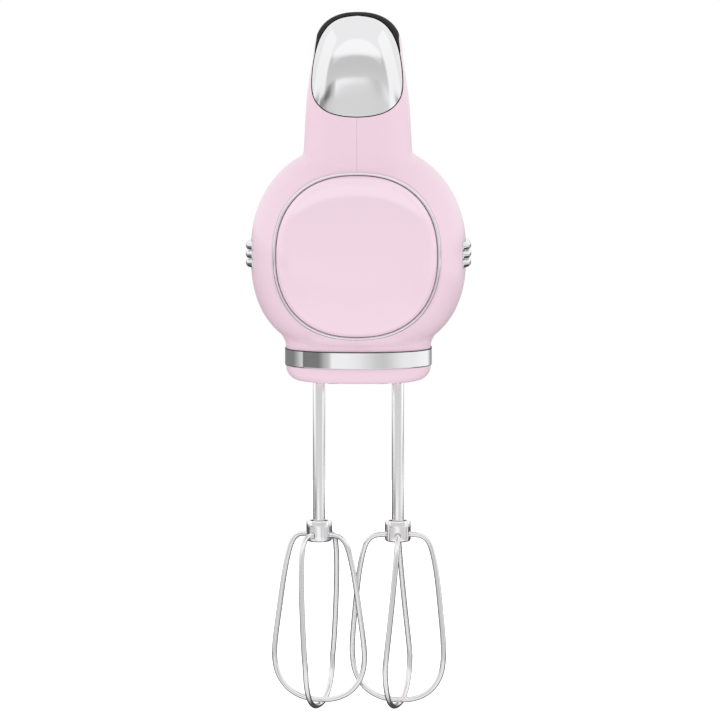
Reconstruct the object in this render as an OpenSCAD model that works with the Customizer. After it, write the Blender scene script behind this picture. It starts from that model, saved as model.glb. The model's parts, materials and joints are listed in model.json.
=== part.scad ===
// Hand mixer: two-whisk mixer with a closed handle loop over a round motor body.
// Millimetres. +Z up, front towards -Y. The origin is the middle of the hand grip.
// Most pieces are laid out from the spindle plane (y) and the underside of the base (z) by from_base().

/* [Body] */
// Width of the round body at its largest section
body_w = 85; // [83:0.2:88]
// Height of the body's axis above the underside of the base
body_axis_h = 50.1; // [49.7:0.1:51]
// Height of the body above its axis
body_up = 43.4; // [42.4:0.2:44]
// Depth of the body below its axis
body_down = 40.5; // [39.5:0.1:41]
// Distance of the front opening's rim ahead of the spindle plane
body_front = 38; // [37:0.5:40]
// Distance of the heel face behind the spindle plane
body_back = 168; // [164:1:176]
// Wall of the housing shells
wall = 2.2; // [1.8:0.1:2.4]
// Width of the front opening
opening_w = 62; // [61:0.2:62.6]
// Height of the front opening
opening_h = 62; // [61:0.2:62.6]

/* [Handle] */
// Height of the top of the handle above the underside of the base
handle_top_h = 144; // [143:0.5:146]
// Width of the hand grip
grip_w = 34; // [33:0.5:37]
// Thickness of the hand grip, from its top to the finger opening
grip_t = 28; // [26.5:0.5:29]
// Width of the neck where it meets the body
neck_w = 42.4; // [41.5:0.5:45]
// Height of the grip's middle above the underside of the base
grip_mid_h = 130.9; // [129:0.1:133]
// Distance of the grip's middle behind the spindle plane
grip_mid_y = 60; // [55:1:66]

/* [Front] */
// Visible width of the bright ring round the front cap
ring_w = 1.3; // [1.1:0.1:1.7]
// Height of the ring in front of the rim
ring_proud = 1; // [0.6:0.1:1.4]
// Crown of the front cap ahead of the rim
cap_crown = 7; // [5:0.5:9]
// Thickness of the front cap
cap_t = 2.4; // [1.8:0.2:3]

/* [Base] */
// Width of the foot above the chrome band
foot_w = 57; // [55.6:0.2:57.8]
// Foot's reach ahead of the spindle plane
foot_front = 27.6; // [26.6:0.2:28.4]
// Foot's reach behind the spindle plane
foot_back = 60; // [54:1:64]
// Height of the base cover below the band
cover_h = 6; // [5.6:0.1:6.6]
// Height of the chrome band
band_h = 6.7; // [6:0.1:7.2]
// Thickness of the chrome band
band_t = 1.4; // [1.1:0.1:1.8]
// How far the band stands proud of the foot
band_proud = 0.45; // [0.2:0.05:0.8]

/* [Lever] */
// Height of the lever hinge above the underside of the base
lever_pin_h = 104.9; // [104.5:0.1:105.3]
// Distance of the lever hinge ahead of the spindle plane
lever_pin_y = 28; // [27.5:0.25:28.5]
// Diameter of the hinge pin
lever_pin_d = 2.5; // [2:0.1:3]
// Gap round the lever plate
lever_gap = 0.35; // [0.3:0.05:0.45]
// Thickness of the lever plate
lever_plate_t = 1.8; // [1.4:0.1:2]
// Thickness of the black panel
panel_t = 1.1; // [0.8:0.1:1.2]

/* [Drive] */
// Distance between the two spindles
spindle_pitch = 31.2; // [31:0.1:31.6]
// Outer diameter of a spindle
spindle_d = 8; // [7.6:0.2:8.6]
// Height of the motor axis above the underside of the base
motor_h = 43.9; // [43.3:0.1:44.9]
// Teeth on a worm wheel
wheel_teeth = 24; // [24:1:24]
// Axial module of the worm
worm_module = 0.95; // [0.94:0.005:0.96]
// Face width of a worm wheel
wheel_t = 8; // [7:0.5:9]
// Length of the worm
worm_len = 18; // [16:1:19]
// Play between the worm's threads and the wheels' teeth
tooth_play = 0.3; // [0.25:0.05:0.35]

/* [Motor] */
// Radius of the stator
stator_r = 27; // [26:0.5:28]
// Length of the stator and armature stacks
stack_len = 26; // [22:1:28]
// Radius of the armature
armature_r = 14.5; // [13.5:0.25:15]
// Air gap between armature and stator
air_gap = 0.5; // [0.4:0.05:0.7]
// Radius of the cooling fan
fan_r = 25; // [22:0.5:26]
// Diameter of the armature shaft
shaft_d = 5; // [4.6:0.2:5.4]

/* [Whisks] */
// Diameter of a whisk shaft
whisk_shaft_d = 4.8; // [4.4:0.1:5.2]
// Largest radius of a whisk, to the middle of its wire
whisk_r = 18.7; // [17.5:0.1:19.2]
// Diameter of the whisk wire
wire_d = 1.8; // [1.5:0.1:2]
// Distance from the underside of the base down to the collar's top
collar_drop = 56.1; // [52:0.1:60]
// Height of the collar
collar_h = 8.4; // [7.6:0.2:9.4]
// Diameter of the collar
collar_d = 10.3; // [10:0.1:11]
// Height of the balloon, from the wires' exit to the bottom of the upper loop
balloon_h = 66.7; // [62:0.5:72]

/* [Fits] */
// Radial running clearance of shafts in their bores
running = 0.05; // [0.03:0.01:0.08]
// Gap that keeps moving or soft faces apart
gap = 0.3; // [0.25:0.05:0.35]

/* [Travel] */
// Swing of the eject lever in degrees
lever_swing = 8; // [6:0.5:8]
// Travel of a key
key_travel = 1.2; // [0.8:0.1:1.3]

/* [Hidden] */

pink = "#efccdc";
chrome = "#d5d6d8";
steel = "#b9bcc0";
black = "#1b1b1e";
nylon = "#e9e4d6";
bronze = "#b08a4e";
copper = "#b8703c";
rubber = "#3a3a3d";
board = "#2e6b45";

round_fn = 48;
bar_fn = 32;

// Body form
body_mid = 5;
body_nose = 62.4;
body_tail = body_back + 17;
body_fullness = 2.2;
body_full_up = 2.2;
body_full_down = 2.5;
body_points = 40;
body_points_inside = 24;
opening_full = 2.3;

// Handle loop: outer y and z, inner y and z, half width and fullness of each section
grip_half = grip_w / 2;
neck_half = neck_w / 2;
top = handle_top_h;
bar = handle_top_h - grip_t;
loop_stations = [
    [-34, 69.9, 14, 71.9, neck_half + 0.6, 2.5],
    [-36.9, 82.9, 18, 85.9, neck_half + 0.3, 2.6],
    [-36.2, 91.9, 18, 94.9, neck_half - 0.3, 2.7],
    [-36.2, 101.9, 17.5, 103.9, grip_half + 3.4, 2.8],
    [-37, 111.9, 18, 109.4, grip_half + 2.8, 2.9],
    [-37.4, 121.2, 20, bar - 3.5, grip_half + 1.9, 2.9],
    [-36.2, 129.8, 22, bar - 1.2, grip_half + 0.9, 2.7],
    [-32, top - 6, 25, bar - 0.3, grip_half + 0.4, 2.4],
    [-24, top - 1.6, 29, bar, grip_half + 0.2, 2.3],
    [-8, top, 36, bar, grip_half, 2.3],
    [30, top - 0.3, 50, bar - 0.2, grip_half - 0.4, 2.3],
    [68, top - 2.6, 74, bar - 1, grip_half - 0.8, 2.3],
    [100, top - 7.5, 96, bar - 3, grip_half - 1.2, 2.3],
    [128, top - 16, 113, bar - 8, grip_half - 1.4, 2.3],
    [149, top - 30, 122, bar - 17, grip_half - 1.4, 2.3],
    [161, top - 48, 127, bar - 29, grip_half - 1, 2.3],
    [164.5, top - 75, 130.5, bar - 56, grip_half, 2.3]];
loop_points = 28;
loop_points_inside = 16;
loop_steps = 2;

// Front projection of the lever plate: half widths at heights above the base
plate_top_h = 141.8;
plate_outline = [
    [0, 103.3], [5, 103.6], [10, 104.8], [13.6, 106.9], [16.3, 110.3], [17.3, 114.9], [17, 121.6], [16.1, 127.3],
    [14.9, 131.5], [13.1, 135.3], [10.1, 138.8], [5.8, 141], [0, plate_top_h]];
plate_end_y = -20;
plate_back_y = plate_end_y + (plate_top_h - lever_pin_h) * sin(lever_swing) + 2.6;
plate_steps = 2;

// Side projection of the black panel's lower edge, from the nose to the panel's rear end
panel_edge_h = 121.5;
panel_edge = [[-44, panel_edge_h], [-24, 126.4], [-17, 133], [-9, top - 8.6], [4, top - 7], [56, top - 6.4]];
panel_back_y = 56;

// Keys on the panel
key_d = 9;
key_gap = 0.2;
key_flange = 0.7;
key_flange_t = 1.2;
key_t = 8.7;
key_top = top + 0.2;
minus_place = [0, 6.5];
plus_place = [0, 19];
turbo_place = [0, 32];
power_place = [0, 45];
key_seat = key_top - key_t;
mat_t = 1.6;
mat_top = key_seat - key_travel - gap;
display_t = 1.6;
display_w = 20;
display_y0 = -4;
display_y1 = 53;

// Chrome band and cover
band_z0 = cover_h;
band_z1 = cover_h + band_h;
foot_full_front = 2.25;
foot_full_back = 2.5;
foot_points = 56;
skirt_h = body_axis_h - 22 - band_z1;
cover_floor = 2.4;
cover_round = 5.5;
upstand_t = 1.6;
upstand_g = band_proud - band_t - gap;

// Spindles and gearbox
socket_r = 5.15;
side_x = spindle_pitch / 2;
wheel_pitch_r = worm_module * wheel_teeth / 2;
worm_pitch_r = side_x - wheel_pitch_r;
worm_starts = 2;
worm_lead = PI * worm_module * worm_starts;
lead_angle = atan(worm_lead / (2 * PI * worm_pitch_r));
tooth_top = worm_module;
tooth_root = 1.25 * worm_module;
pressure_tan = tan(20);
tooth_half = PI * worm_module / 4 - tooth_play / 2;
worm_bore_r = 2;
worm_slices = 16;
spindle_r = spindle_d / 2;
spindle_z0 = 1.2;
spindle_z1 = motor_h + 14;
spindle_bore_r = whisk_shaft_d / 2 + running;
bush_t = 1.7;
bush_len = 5;
bush_flange_t = 0.8;
frame_z0 = 10;
frame_t = 3;
frame_wall_t = 4;
frame_half = 17;
frame_plate_front = 20.5;
frame_plate_back = 23;
frame_side = 23;
frame_z1 = motor_h + 7;
cover_plate_t = 2.6;
boss_wall = 2;
wheel_z0 = motor_h - wheel_t / 2;

// Armature shaft and what it carries
shaft_r = shaft_d / 2;
shaft_front_y = -frame_half - frame_wall_t;
shaft_step_y = worm_len / 2 + 0.8;
stack_y = 34;
winding_reach = 7;
commutator_y = stack_y + stack_len + winding_reach + 1.2;
commutator_len = 11;
commutator_r = 9;
rear_bracket_y = commutator_y + commutator_len + 2;
bracket_t = 3;
shaft_bush_len = 6;
fan_y = rear_bracket_y + shaft_bush_len + 1.5;
fan_depth = 9;
shaft_back_y = fan_y + fan_depth + 1.5;
fan_blades = 9;
motor_screw_x = 21;
motor_screw_z = 11;
motor_screw_r = 1.5;
front_bracket_y = frame_half + frame_wall_t + 1;
coil_r = 20.5;
coil_t = 5.4;

// Brushes
brush_y = commutator_y + commutator_len / 2;
brush_w = 5;
brush_h = 6;
brush_len = 9;
holder_wall = 0.8;
holder_x0 = commutator_r + 1.2;
holder_len = 15;

// Ejector
rod_r = 2;
rod_gap = 0.3;
whisk_top = 30;
yoke_z0 = spindle_z1 + 12;
yoke_t = 4;
yoke_depth = 8;
post_w = 7;
post_d = 5;
arm_t = 4;
arm_w = 13;
arm_back = 4;
barrel_r = 3;
barrel_half = 7;
lug_t = 4;
lug_gap = 0.4;
spring_wire = 0.9;
spring_r = 4.6;
spring_turns = 4.5;

// Whisks
wire_r = wire_d / 2;
exit_drop = collar_drop + 5.7;
loop_profile = [
    [3.5, 0], [6.4, 0], [9.6, 0.5], [12.2, 2.8], [13.9, 7.6], [15.6, 16.6], [17.2, 30.3], [18.5, 42.5],
    [18.7, 50], [17.3, 56.8], [13.2, 62.6], [7, 65.9], [0, 66.7]];
profile_r = 18.7;
profile_h = 66.7;
loop_turn = 15;
left_start = -30;
wire_sides = 8;
wire_steps = 2;
lug_w = 1.3;
lug_r = 3.6;
lug_h = 5;
lug_z = 5;
shaft_end_r = 1.2;
collar_floor = 1.4;
collar_wall = 1.7;

// Screws
screw_r = 1.5;
screw_head_r = 2.8;
screw_head_h = 2;
boss_r = 3.6;
housing_screw_places = [[11.5, 89.9], [118, 115.6], [150, 50.2], [118, 24.9]];
housing_screw_len = 15;
base_screw_places = [[-9, -19.5], [9, -19.5], [-12, 46], [12, 46]];
base_screw_top = 18;

// Side trim
trim_y0 = -16;
trim_y1 = 34;
trim_ribs = [46.3, 49.7, 53.1];
trim_rib_h = 3;
trim_proud = 2.4;
trim_back = 0.5;
trim_cells = 6;

// Rear fittings
inlet_y = 138;
inlet_r = 3.5;
inlet_outer_r = 6.4;
inlet_flange_r = 8.4;
inlet_flange_t = 2;
inlet_len = 14;
inlet_z0 = 17.4;
heel_pad_r = 7;
heel_pad_t = 2;
heel_pad_z = [37.9, 62.9];
vent_places = [92, 98, 104, 110];
vent_r = 1.1;
vent_z0 = 60.2;
vent_z1 = 72.2;

// A power that keeps the sign of its base
function spow(v, p) = sign(v) * pow(abs(v), p);

// Points of a superelliptic section with its own height and fullness above and below its axis
function section(half, up, down, full_up, full_down, count) = [
    for (k = [0:count - 1])
        let (a = 360 * k / count, c = cos(a), s = sin(a), e = 2 / (s >= 0 ? full_up : full_down))
        [half * spow(c, e), (s >= 0 ? up : down) * spow(s, e)]];

// Catmull-Rom blend between b and c
function blend4(a, b, c, d, t) =
    (2 * b + (c - a) * t + (2 * a - 5 * b + 4 * c - d) * t * t + (3 * b - a - 3 * c + d) * t * t * t) / 2;

// A list of values joined by a smooth curve with the given steps in each span
function smooth(list, steps) = [
    for (i = [0:len(list) - 2], k = [0:steps - 1])
        blend4(list[max(i - 1, 0)], list[i], list[i + 1], list[min(i + 2, len(list) - 1)], k / steps),
    list[len(list) - 1]];

// Share of the largest section that the body has at depth y
function body_share(y) =
    let (u = y < body_mid ? (body_mid - y) / body_nose : (y - body_mid) / body_tail)
    pow(1 - pow(u, body_fullness), 1 / body_fullness);

// Half width of the body at depth y and height z
function body_x(y, z) =
    let (f = body_share(y), up = z >= body_axis_h, h = up ? body_up : body_down,
         n = up ? body_full_up : body_full_down)
    body_w / 2 * f * pow(1 - pow(abs(z - body_axis_h) / (h * f), n), 1 / n);

// Depths of the body's sections
function body_depths(front, back) = [
    for (y = [front, front + 2, front + 5, front + 9, front + 14, front + 20, front + 27, front + 35,
              body_mid, 20, 40, 60, 80, 98, 114, 128, 140, 150, 158]) y,
    back - 5, back];

module from_base() {
    translate([0, -grip_mid_y, -grip_mid_h]) children();
}

// Closed solid through a list of rings of equal length
module loft(rings) {
    n = len(rings[0]);
    last = (len(rings) - 1) * n;
    points = [for (ring = rings) each ring];
    sides = [
        for (i = [0:len(rings) - 2], j = [0:n - 1])
            let (a = i * n + j, b = i * n + (j + 1) % n) each [[a, b, b + n], [a, b + n, a + n]]];
    first_cap = [for (j = [n - 1:-1:0]) j];
    last_cap = [for (j = [0:n - 1]) last + j];
    polyhedron(points, concat([first_cap], sides, [last_cap]), convexity = 10);
}

// Closed slab between two grids of points with the same rows and columns
module slab(front, back) {
    rows = len(front);
    cols = len(front[0]);
    n = rows * cols;
    points = concat([for (r = front) each r], [for (r = back) each r]);
    faces = [
        for (i = [0:rows - 2], j = [0:cols - 2])
            let (a = i * cols + j, b = a + 1, c = b + cols, d = a + cols)
            each [[a, b, c], [a, c, d], [n + a, n + c, n + b], [n + a, n + d, n + c]]];
    ends = [
        for (j = [0:cols - 2])
            let (a = j, b = j + 1, c = (rows - 1) * cols + j, d = c + 1)
            each [[a, n + b, b], [a, n + a, n + b], [c, d, n + d], [c, n + d, n + c]]];
    edges = [
        for (i = [0:rows - 2])
            let (a = i * cols, b = a + cols, c = a + cols - 1, d = c + cols)
            each [[a, b, n + b], [a, n + b, n + a], [c, n + d, d], [c, n + c, n + d]]];
    polyhedron(points, concat(faces, ends, edges), convexity = 10);
}

// The round body, grown or shrunk by g
module body_form(g, front, back, count = body_points) {
    loft([
        for (y = body_depths(front, back))
            let (f = body_share(y))
            [for (p = section(body_w / 2 * f + g, body_up * f + g, body_down * f + g,
                              body_full_up, body_full_down, count))
                [p[0], y, body_axis_h + p[1]]]]);
}

// The neck, the grip and the rear arm, grown or shrunk by g
module loop_form(g, count = loop_points, steps = loop_steps) {
    loft([
        for (s = smooth(loop_stations, steps))
            let (mid = [s[0] + s[2], s[1] + s[3]] / 2, half = [s[0] - s[2], s[1] - s[3]] / 2,
                 up = half * (1 + g / norm(half)))
            [for (p = section(s[4] + g, 1, 1, s[5], s[5], count))
                [p[0], mid[0] + up[0] * p[1], mid[1] + up[1] * p[1]]]]);
}

// Plan of the foot, grown by g
module foot_plan(g) {
    polygon(section(foot_w / 2 + g, foot_back + g, foot_front + g, foot_full_back, foot_full_front,
                    foot_points));
}

// Plan of the front opening, grown by g, standing in the XZ plane from y back to y + d
module opening_prism(g, y, d) {
    translate([0, y + d, body_axis_h]) rotate([90, 0, 0]) linear_extrude(d)
        polygon(section(opening_w / 2 + g, opening_h / 2 + g, opening_h / 2 + g, opening_full,
                        opening_full, body_points));
}

// Front outline of the lever plate, grown by g, from far in front back to y
module plate_prism(g, y) {
    right = smooth(plate_outline, plate_steps);
    left = [for (i = [len(right) - 2:-1:1]) [-right[i][0], right[i][1]]];
    translate([0, y, 0]) rotate([90, 0, 0]) linear_extrude(40) offset(delta = g)
        polygon(concat(right, left));
}

// Everything above the black panel's lower edge, grown by g
module panel_prism(g) {
    edge = [for (p = smooth(panel_edge, 3)) [p[0] + g, p[1] - g]];
    rotate([90, 0, 90]) linear_extrude(60, center = true)
        polygon(concat(edge, [[panel_back_y + g, top + 8], [-60, top + 8], [-60, panel_edge_h - g]]));
}

module round_bar(r, z0, z1) {
    translate([0, 0, z0]) cylinder(r = r, h = z1 - z0, $fn = round_fn);
}

// A cylinder along X between two x values
module cross_bar(r, x0, x1, y, z) {
    translate([x0, y, z]) rotate([0, 90, 0]) cylinder(r = r, h = x1 - x0, $fn = bar_fn);
}

// A cylinder along Y between two y values
module axle(r, y0, y1) {
    translate([0, y1, motor_h]) rotate([90, 0, 0]) cylinder(r = r, h = y1 - y0, $fn = round_fn);
}

module block(low, high) {
    translate(low) cube(high - low);
}

// Everything below height z
module below(z) {
    block([-60, -60, -10], [60, 200, z]);
}

module both_sides() {
    children();
    mirror([1, 0, 0]) children();
}

// ---- Housing ----

module housing_skin() {
    difference() {
        union() {
            difference() {
                body_form(0, -body_front, body_back);
                below(band_z1);
            }
            loop_form(0);
            translate([0, 0, band_z1]) linear_extrude(skirt_h) foot_plan(0);
        }
        difference() {
            body_form(-wall, -body_front + wall, body_back - wall, body_points_inside);
            below(band_z1 + wall);
        }
        loop_form(-wall, loop_points_inside, 1);
        translate([0, 0, band_z1 - 1]) linear_extrude(skirt_h) foot_plan(-wall);
        opening_prism(0, -body_front - 1, wall + 5);
        plate_prism(lever_gap, plate_back_y);
        difference() {
            panel_prism(lever_gap);
            loop_form(-panel_t - 0.05);
        }
        key_holes();
        vents();
        translate([0, inlet_y, 0]) {
            round_bar(inlet_outer_r + 0.1, 10, 40);
            round_bar(inlet_flange_r + 0.1, 10, inlet_z0 + inlet_flange_t);
        }
    }
}

module vents() {
    for (y = vent_places) both_sides() hull() {
        cross_bar(vent_r, 24, 60, y, vent_z0);
        cross_bar(vent_r, 24, 60, y, vent_z1);
    }
}

module key_holes() {
    for (p = [minus_place, plus_place, turbo_place, power_place])
        translate([p[0], p[1], 0]) round_bar(key_d / 2 + key_gap, key_seat + key_flange_t, top + 5);
}

// Screw bosses that cross the inside of the shells
module housing_bosses() {
    for (p = housing_screw_places) intersection() {
        cross_bar(boss_r, -40, 40, p[0], p[1]);
        union() {
            body_form(-0.5, -body_front, body_back);
            loop_form(-0.5);
        }
    }
}

// Ears beside the lever arm that hold the hinge pin
module hinge_ears() {
    x0 = barrel_half + lug_gap;
    both_sides() intersection() {
        hull() {
            cross_bar(barrel_r, x0, x0 + lug_t, -lever_pin_y, lever_pin_h);
            block([x0, -lever_pin_y - 8, lever_pin_h - 15], [x0 + lug_t, -lever_pin_y + 2, lever_pin_h - 9]);
        }
        loop_form(-0.5);
    }
}

// Ledges inside the grip under the two boards
module board_ledges() {
    intersection() {
        union() {
            for (y = [display_y0 + 2, display_y1 - 6])
                both_sides() block([display_w / 2 - 1.5, y, display_z() - 2], [20, y + 3, display_z()]);
            for (y = [61, 93])
                both_sides() block([6.5, y, control_z() - 2.5], [20, y + 3, control_z()]);
        }
        loop_form(-0.5);
    }
}

function display_z() = mat_top - mat_t - display_t;
function control_z() = bar + 5.5;

// Rails inside the body that carry the motor brackets and the gearbox
module motor_rails() {
    intersection() {
        both_sides() for (y = [front_bracket_y, rear_bracket_y])
            block([motor_screw_x + 4.5, y - 1, motor_h - 5], [50, y + bracket_t + 1, motor_h + 5]);
        body_form(-0.5, -body_front, body_back);
    }
}

module housing_solid() {
    difference() {
        union() {
            housing_skin();
            housing_bosses();
            hinge_ears();
            board_ledges();
            difference() {
                motor_rails();
                for (y = [front_bracket_y, rear_bracket_y])
                    block([-motor_screw_x - 7, y, motor_h - 7], [motor_screw_x + 7, y + bracket_t, motor_h + 7]);
            }
        }
        cross_bar(lever_pin_d / 2 + running, -barrel_half - lug_gap - lug_t - 1, barrel_half + lug_gap + lug_t + 1,
                  -lever_pin_y, lever_pin_h);
        for (p = housing_screw_places) {
            cross_bar(screw_r + running, -45, housing_screw_len - 4, p[0], p[1]);
            cross_bar(screw_head_r + 0.2, -45, -screw_seat(), p[0], p[1]);
        }
        for (z = heel_pad_z) translate([0, body_back - 5, z]) rotate([-90, 0, 0]) cylinder(r = 2, h = 8, $fn = bar_fn);
    }
}

// Distance of a housing screw's seat from the seam
function screw_seat() = 8;

module housing_left() {
    color(pink) from_base() intersection() {
        housing_solid();
        block([-60, -60, 0], [0, 200, 160]);
    }
}

module housing_right() {
    color(pink) from_base() intersection() {
        housing_solid();
        block([0, -60, 0], [60, 200, 160]);
    }
}

module housing_screws() {
    color(steel) from_base() for (p = housing_screw_places) {
        cross_bar(screw_r, -screw_seat(), housing_screw_len - 5, p[0], p[1]);
        cross_bar(screw_head_r, -screw_seat() - screw_head_h, -screw_seat(), p[0], p[1]);
    }
}

module heel_pads() {
    color(rubber) from_base() for (z = heel_pad_z) translate([0, body_back, z]) rotate([-90, 0, 0]) {
        cylinder(r = heel_pad_r, h = heel_pad_t, $fn = round_fn);
        translate([0, 0, -4]) cylinder(r = 1.9, h = 4, $fn = bar_fn);
    }
}

module cord_inlet() {
    color(rubber) from_base() translate([0, inlet_y, inlet_z0]) difference() {
        union() {
            cylinder(r = inlet_outer_r, h = inlet_len, $fn = round_fn);
            cylinder(r = inlet_flange_r, h = inlet_flange_t, $fn = round_fn);
        }
        translate([0, 0, -1]) cylinder(r = inlet_r, h = inlet_len + 2, $fn = round_fn);
    }
}

// ---- Front cap, ring and side trims ----

module front_cap() {
    reach = 8;
    inset = gap;
    levels = [[1, 0.04], [0.99, 0.3], [0.94, 0.58], [0.82, 0.8], [0.62, 0.93], [0.35, 0.985], [0, 1]];
    outline = section(1, 1, 1, opening_full, opening_full, body_points);
    half_w = opening_w / 2 - inset;
    half_h = opening_h / 2 - inset;
    rings = concat(
        [for (l = levels) [for (p = outline)
            [half_w * l[1] * p[0], -body_front + 0.4 - (cap_crown + 0.4) * l[0], half_h * l[1] * p[1]]]],
        [[for (p = outline) [half_w * p[0], -body_front + reach, half_h * p[1]]]]);
    color(pink) from_base() translate([0, 0, body_axis_h]) difference() {
        loft(rings);
        translate([0, -body_front + reach + 1, 0]) rotate([90, 0, 0]) linear_extrude(reach + 1)
            polygon([for (p = outline) [(half_w - cap_t) * p[0], (half_h - cap_t) * p[1]]]);
    }
}

module front_ring() {
    color(chrome) from_base() difference() {
        opening_prism(ring_w - gap + 0.1, -body_front - ring_proud, ring_proud);
        opening_prism(-gap + 0.1, -body_front - ring_proud - 1, ring_proud + 2);
    }
}

// One swept rib of the trim at height z, thinning to nothing at both ends
module trim_rib(z) {
    rows = [for (i = [0:trim_cells]) trim_y0 + (trim_y1 - trim_y0) * i / trim_cells];
    function rise(y) = trim_proud * min(1, 0.35 + min(y - trim_y0, trim_y1 - y) / 6);
    outer = [for (y = rows) [
        for (t = [-1, -0.6, 0.6, 1])
            let (h = z + t * trim_rib_h / 2)
            [body_x(y, h) + (abs(t) > 0.9 ? rise(y) * 0.6 : rise(y)), y, h]]];
    inner = [for (y = rows) [for (t = [-1, -0.6, 0.6, 1])
        let (h = z + t * trim_rib_h / 2) [body_x(y, h) + 0.05, y, h]]];
    slab(outer, inner);
}

// Thin plate that joins the ribs
module trim_plate() {
    rows = [for (i = [0:trim_cells]) trim_y0 + 2 + (trim_y1 - trim_y0 - 4) * i / trim_cells];
    heights = [for (t = [0:4]) trim_ribs[0] + (trim_ribs[2] - trim_ribs[0]) * t / 4];
    slab([for (y = rows) [for (h = heights) [body_x(y, h) + trim_back, y, h]]],
         [for (y = rows) [for (h = heights) [body_x(y, h) + 0.05, y, h]]]);
}

module side_trim() {
    for (z = trim_ribs) trim_rib(z);
    trim_plate();
}

module side_trim_left() {
    color(chrome) from_base() mirror([1, 0, 0]) side_trim();
}

module side_trim_right() {
    color(chrome) from_base() side_trim();
}

// ---- Base ----

module base_cover() {
    steps = [cover_round, 4.2, 2.8, 1.6, 0.7, 0];
    color(pink) from_base() difference() {
        union() {
            loft([
                for (z = concat([cover_h], steps))
                    let (u = max(0, 1 - z / cover_round), inset = cover_round * (1 - sqrt(1 - u * u)))
                    [for (p = section(foot_w / 2 - inset, foot_back - inset, foot_front - inset,
                                      foot_full_back, foot_full_front, foot_points)) [p[0], p[1], z]]]);
            translate([0, 0, cover_h]) linear_extrude(band_h) foot_plan(upstand_g);
        }
        translate([0, 0, cover_floor]) linear_extrude(cover_h + band_h) foot_plan(upstand_g - upstand_t);
        both_sides() translate([side_x, 0, 0]) round_bar(socket_r + running, -1, cover_h);
        for (p = base_screw_places) translate([p[0], p[1], 0]) {
            round_bar(screw_r + running, -1, cover_h);
            round_bar(screw_head_r + 0.2, -1, 1);
        }
    }
}

module chrome_band() {
    color(chrome) from_base() translate([0, 0, band_z0]) linear_extrude(band_h) difference() {
        foot_plan(band_proud);
        foot_plan(band_proud - band_t);
    }
}

module base_screws() {
    color(steel) from_base() for (p = base_screw_places) translate([p[0], p[1], 0]) {
        round_bar(screw_r, 1, base_screw_top - 2);
        round_bar(screw_head_r, 1 - screw_head_h / 2, 1);
    }
}

module socket_rings() {
    color(chrome) from_base() both_sides() translate([side_x, 0, 0]) difference() {
        union() {
            round_bar(socket_r, -1, cover_floor);
            round_bar(socket_r + 1.4, cover_floor, cover_floor + 1);
        }
        round_bar(spindle_r + 0.4, -2, cover_floor + 2);
    }
}

// ---- Gearbox ----

// Boss round a spindle bush
module bush_boss(z0, z1) {
    translate([side_x, 0, 0]) round_bar(spindle_r + bush_t + boss_wall, z0, z1);
}

module gearbox_frame() {
    color("#c9cacc") from_base() difference() {
        union() {
            intersection() {
                block([-frame_side, -frame_plate_front, frame_z0], [frame_side, frame_plate_back, frame_z0 + frame_t]);
                linear_extrude(2 * frame_z0) foot_plan(upstand_g - upstand_t - gap);
            }
            for (y = [-frame_half - frame_wall_t, frame_half])
                block([-11, y, frame_z0], [11, y + frame_wall_t, frame_z1]);
            both_sides() bush_boss(cover_floor + 1.4, frame_z0 + bush_len);
            for (p = base_screw_places) translate([p[0], p[1], 0]) round_bar(boss_r, cover_floor, base_screw_top);
            block([-15.6, frame_plate_back - 1, frame_z0], [15.6, base_screw_places[2][1], frame_z0 + frame_t]);
        }
        both_sides() translate([side_x, 0, 0]) round_bar(spindle_r + bush_t, 0, frame_z0 + bush_len + 1);
        axle(shaft_r + bush_t, -frame_half - frame_wall_t - 1, -frame_half + 1);
        axle(shaft_r + bush_t, frame_half - 1, frame_half + frame_wall_t + 1);
        for (p = base_screw_places) translate([p[0], p[1], 0]) round_bar(screw_r, 0, base_screw_top - 1.5);
    }
}

module gearbox_cover() {
    color("#c9cacc") from_base() difference() {
        union() {
            block([-frame_side, -frame_half - frame_wall_t, frame_z1],
                  [frame_side, frame_half + frame_wall_t, frame_z1 + cover_plate_t]);
            both_sides() bush_boss(frame_z1, frame_z1 + bush_len);
            round_bar(spring_r - spring_wire - 0.4, frame_z1, frame_z1 + cover_plate_t + 4);
        }
        both_sides() translate([side_x, 0, 0]) round_bar(spindle_r + bush_t, frame_z1 - 1, frame_z1 + bush_len + 1);
    }
}

module spindle_bushes() {
    color(bronze) from_base() both_sides() translate([side_x, 0, 0])
        for (z = [frame_z0, frame_z1]) difference() {
            round_bar(spindle_r + bush_t, z, z + bush_len);
            round_bar(spindle_r + running, z - 1, z + bush_len + 1);
        }
}

module shaft_bushes() {
    color(bronze) from_base() {
        shaft_bush(-frame_half - frame_wall_t, -frame_half, worm_bore_r);
        shaft_bush(frame_half, frame_half + frame_wall_t, shaft_r);
        shaft_bush(rear_bracket_y, rear_bracket_y + shaft_bush_len, shaft_r);
    }
}

module shaft_bush(y0, y1, r) {
    difference() {
        axle(shaft_r + bush_t, y0, y1);
        axle(r + running, y0 - 1, y1 + 1);
    }
}

// Hollow spindle with two slots for the whisk's wings
module spindle(side) {
    color(steel) from_base() translate([side * side_x, 0, 0]) difference() {
        union() {
            round_bar(spindle_r, spindle_z0, spindle_z1);
            round_bar(spindle_r + bush_t, frame_z0 + bush_len + 0.1, frame_z0 + bush_len + 1.6);
        }
        round_bar(spindle_bore_r, 0, spindle_z1 + 1);
        rotate([0, 0, wing_angle(side)]) block([-lug_r - 1, -lug_w / 2 - 0.1, 0], [lug_r + 1, lug_w / 2 + 0.1, lug_z + lug_h + gap]);
    }
}

function wing_angle(side) = side > 0 ? 45 : 45 + left_start;

module spindle_left() {
    spindle(-1);
}

module spindle_right() {
    spindle(1);
}

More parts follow.
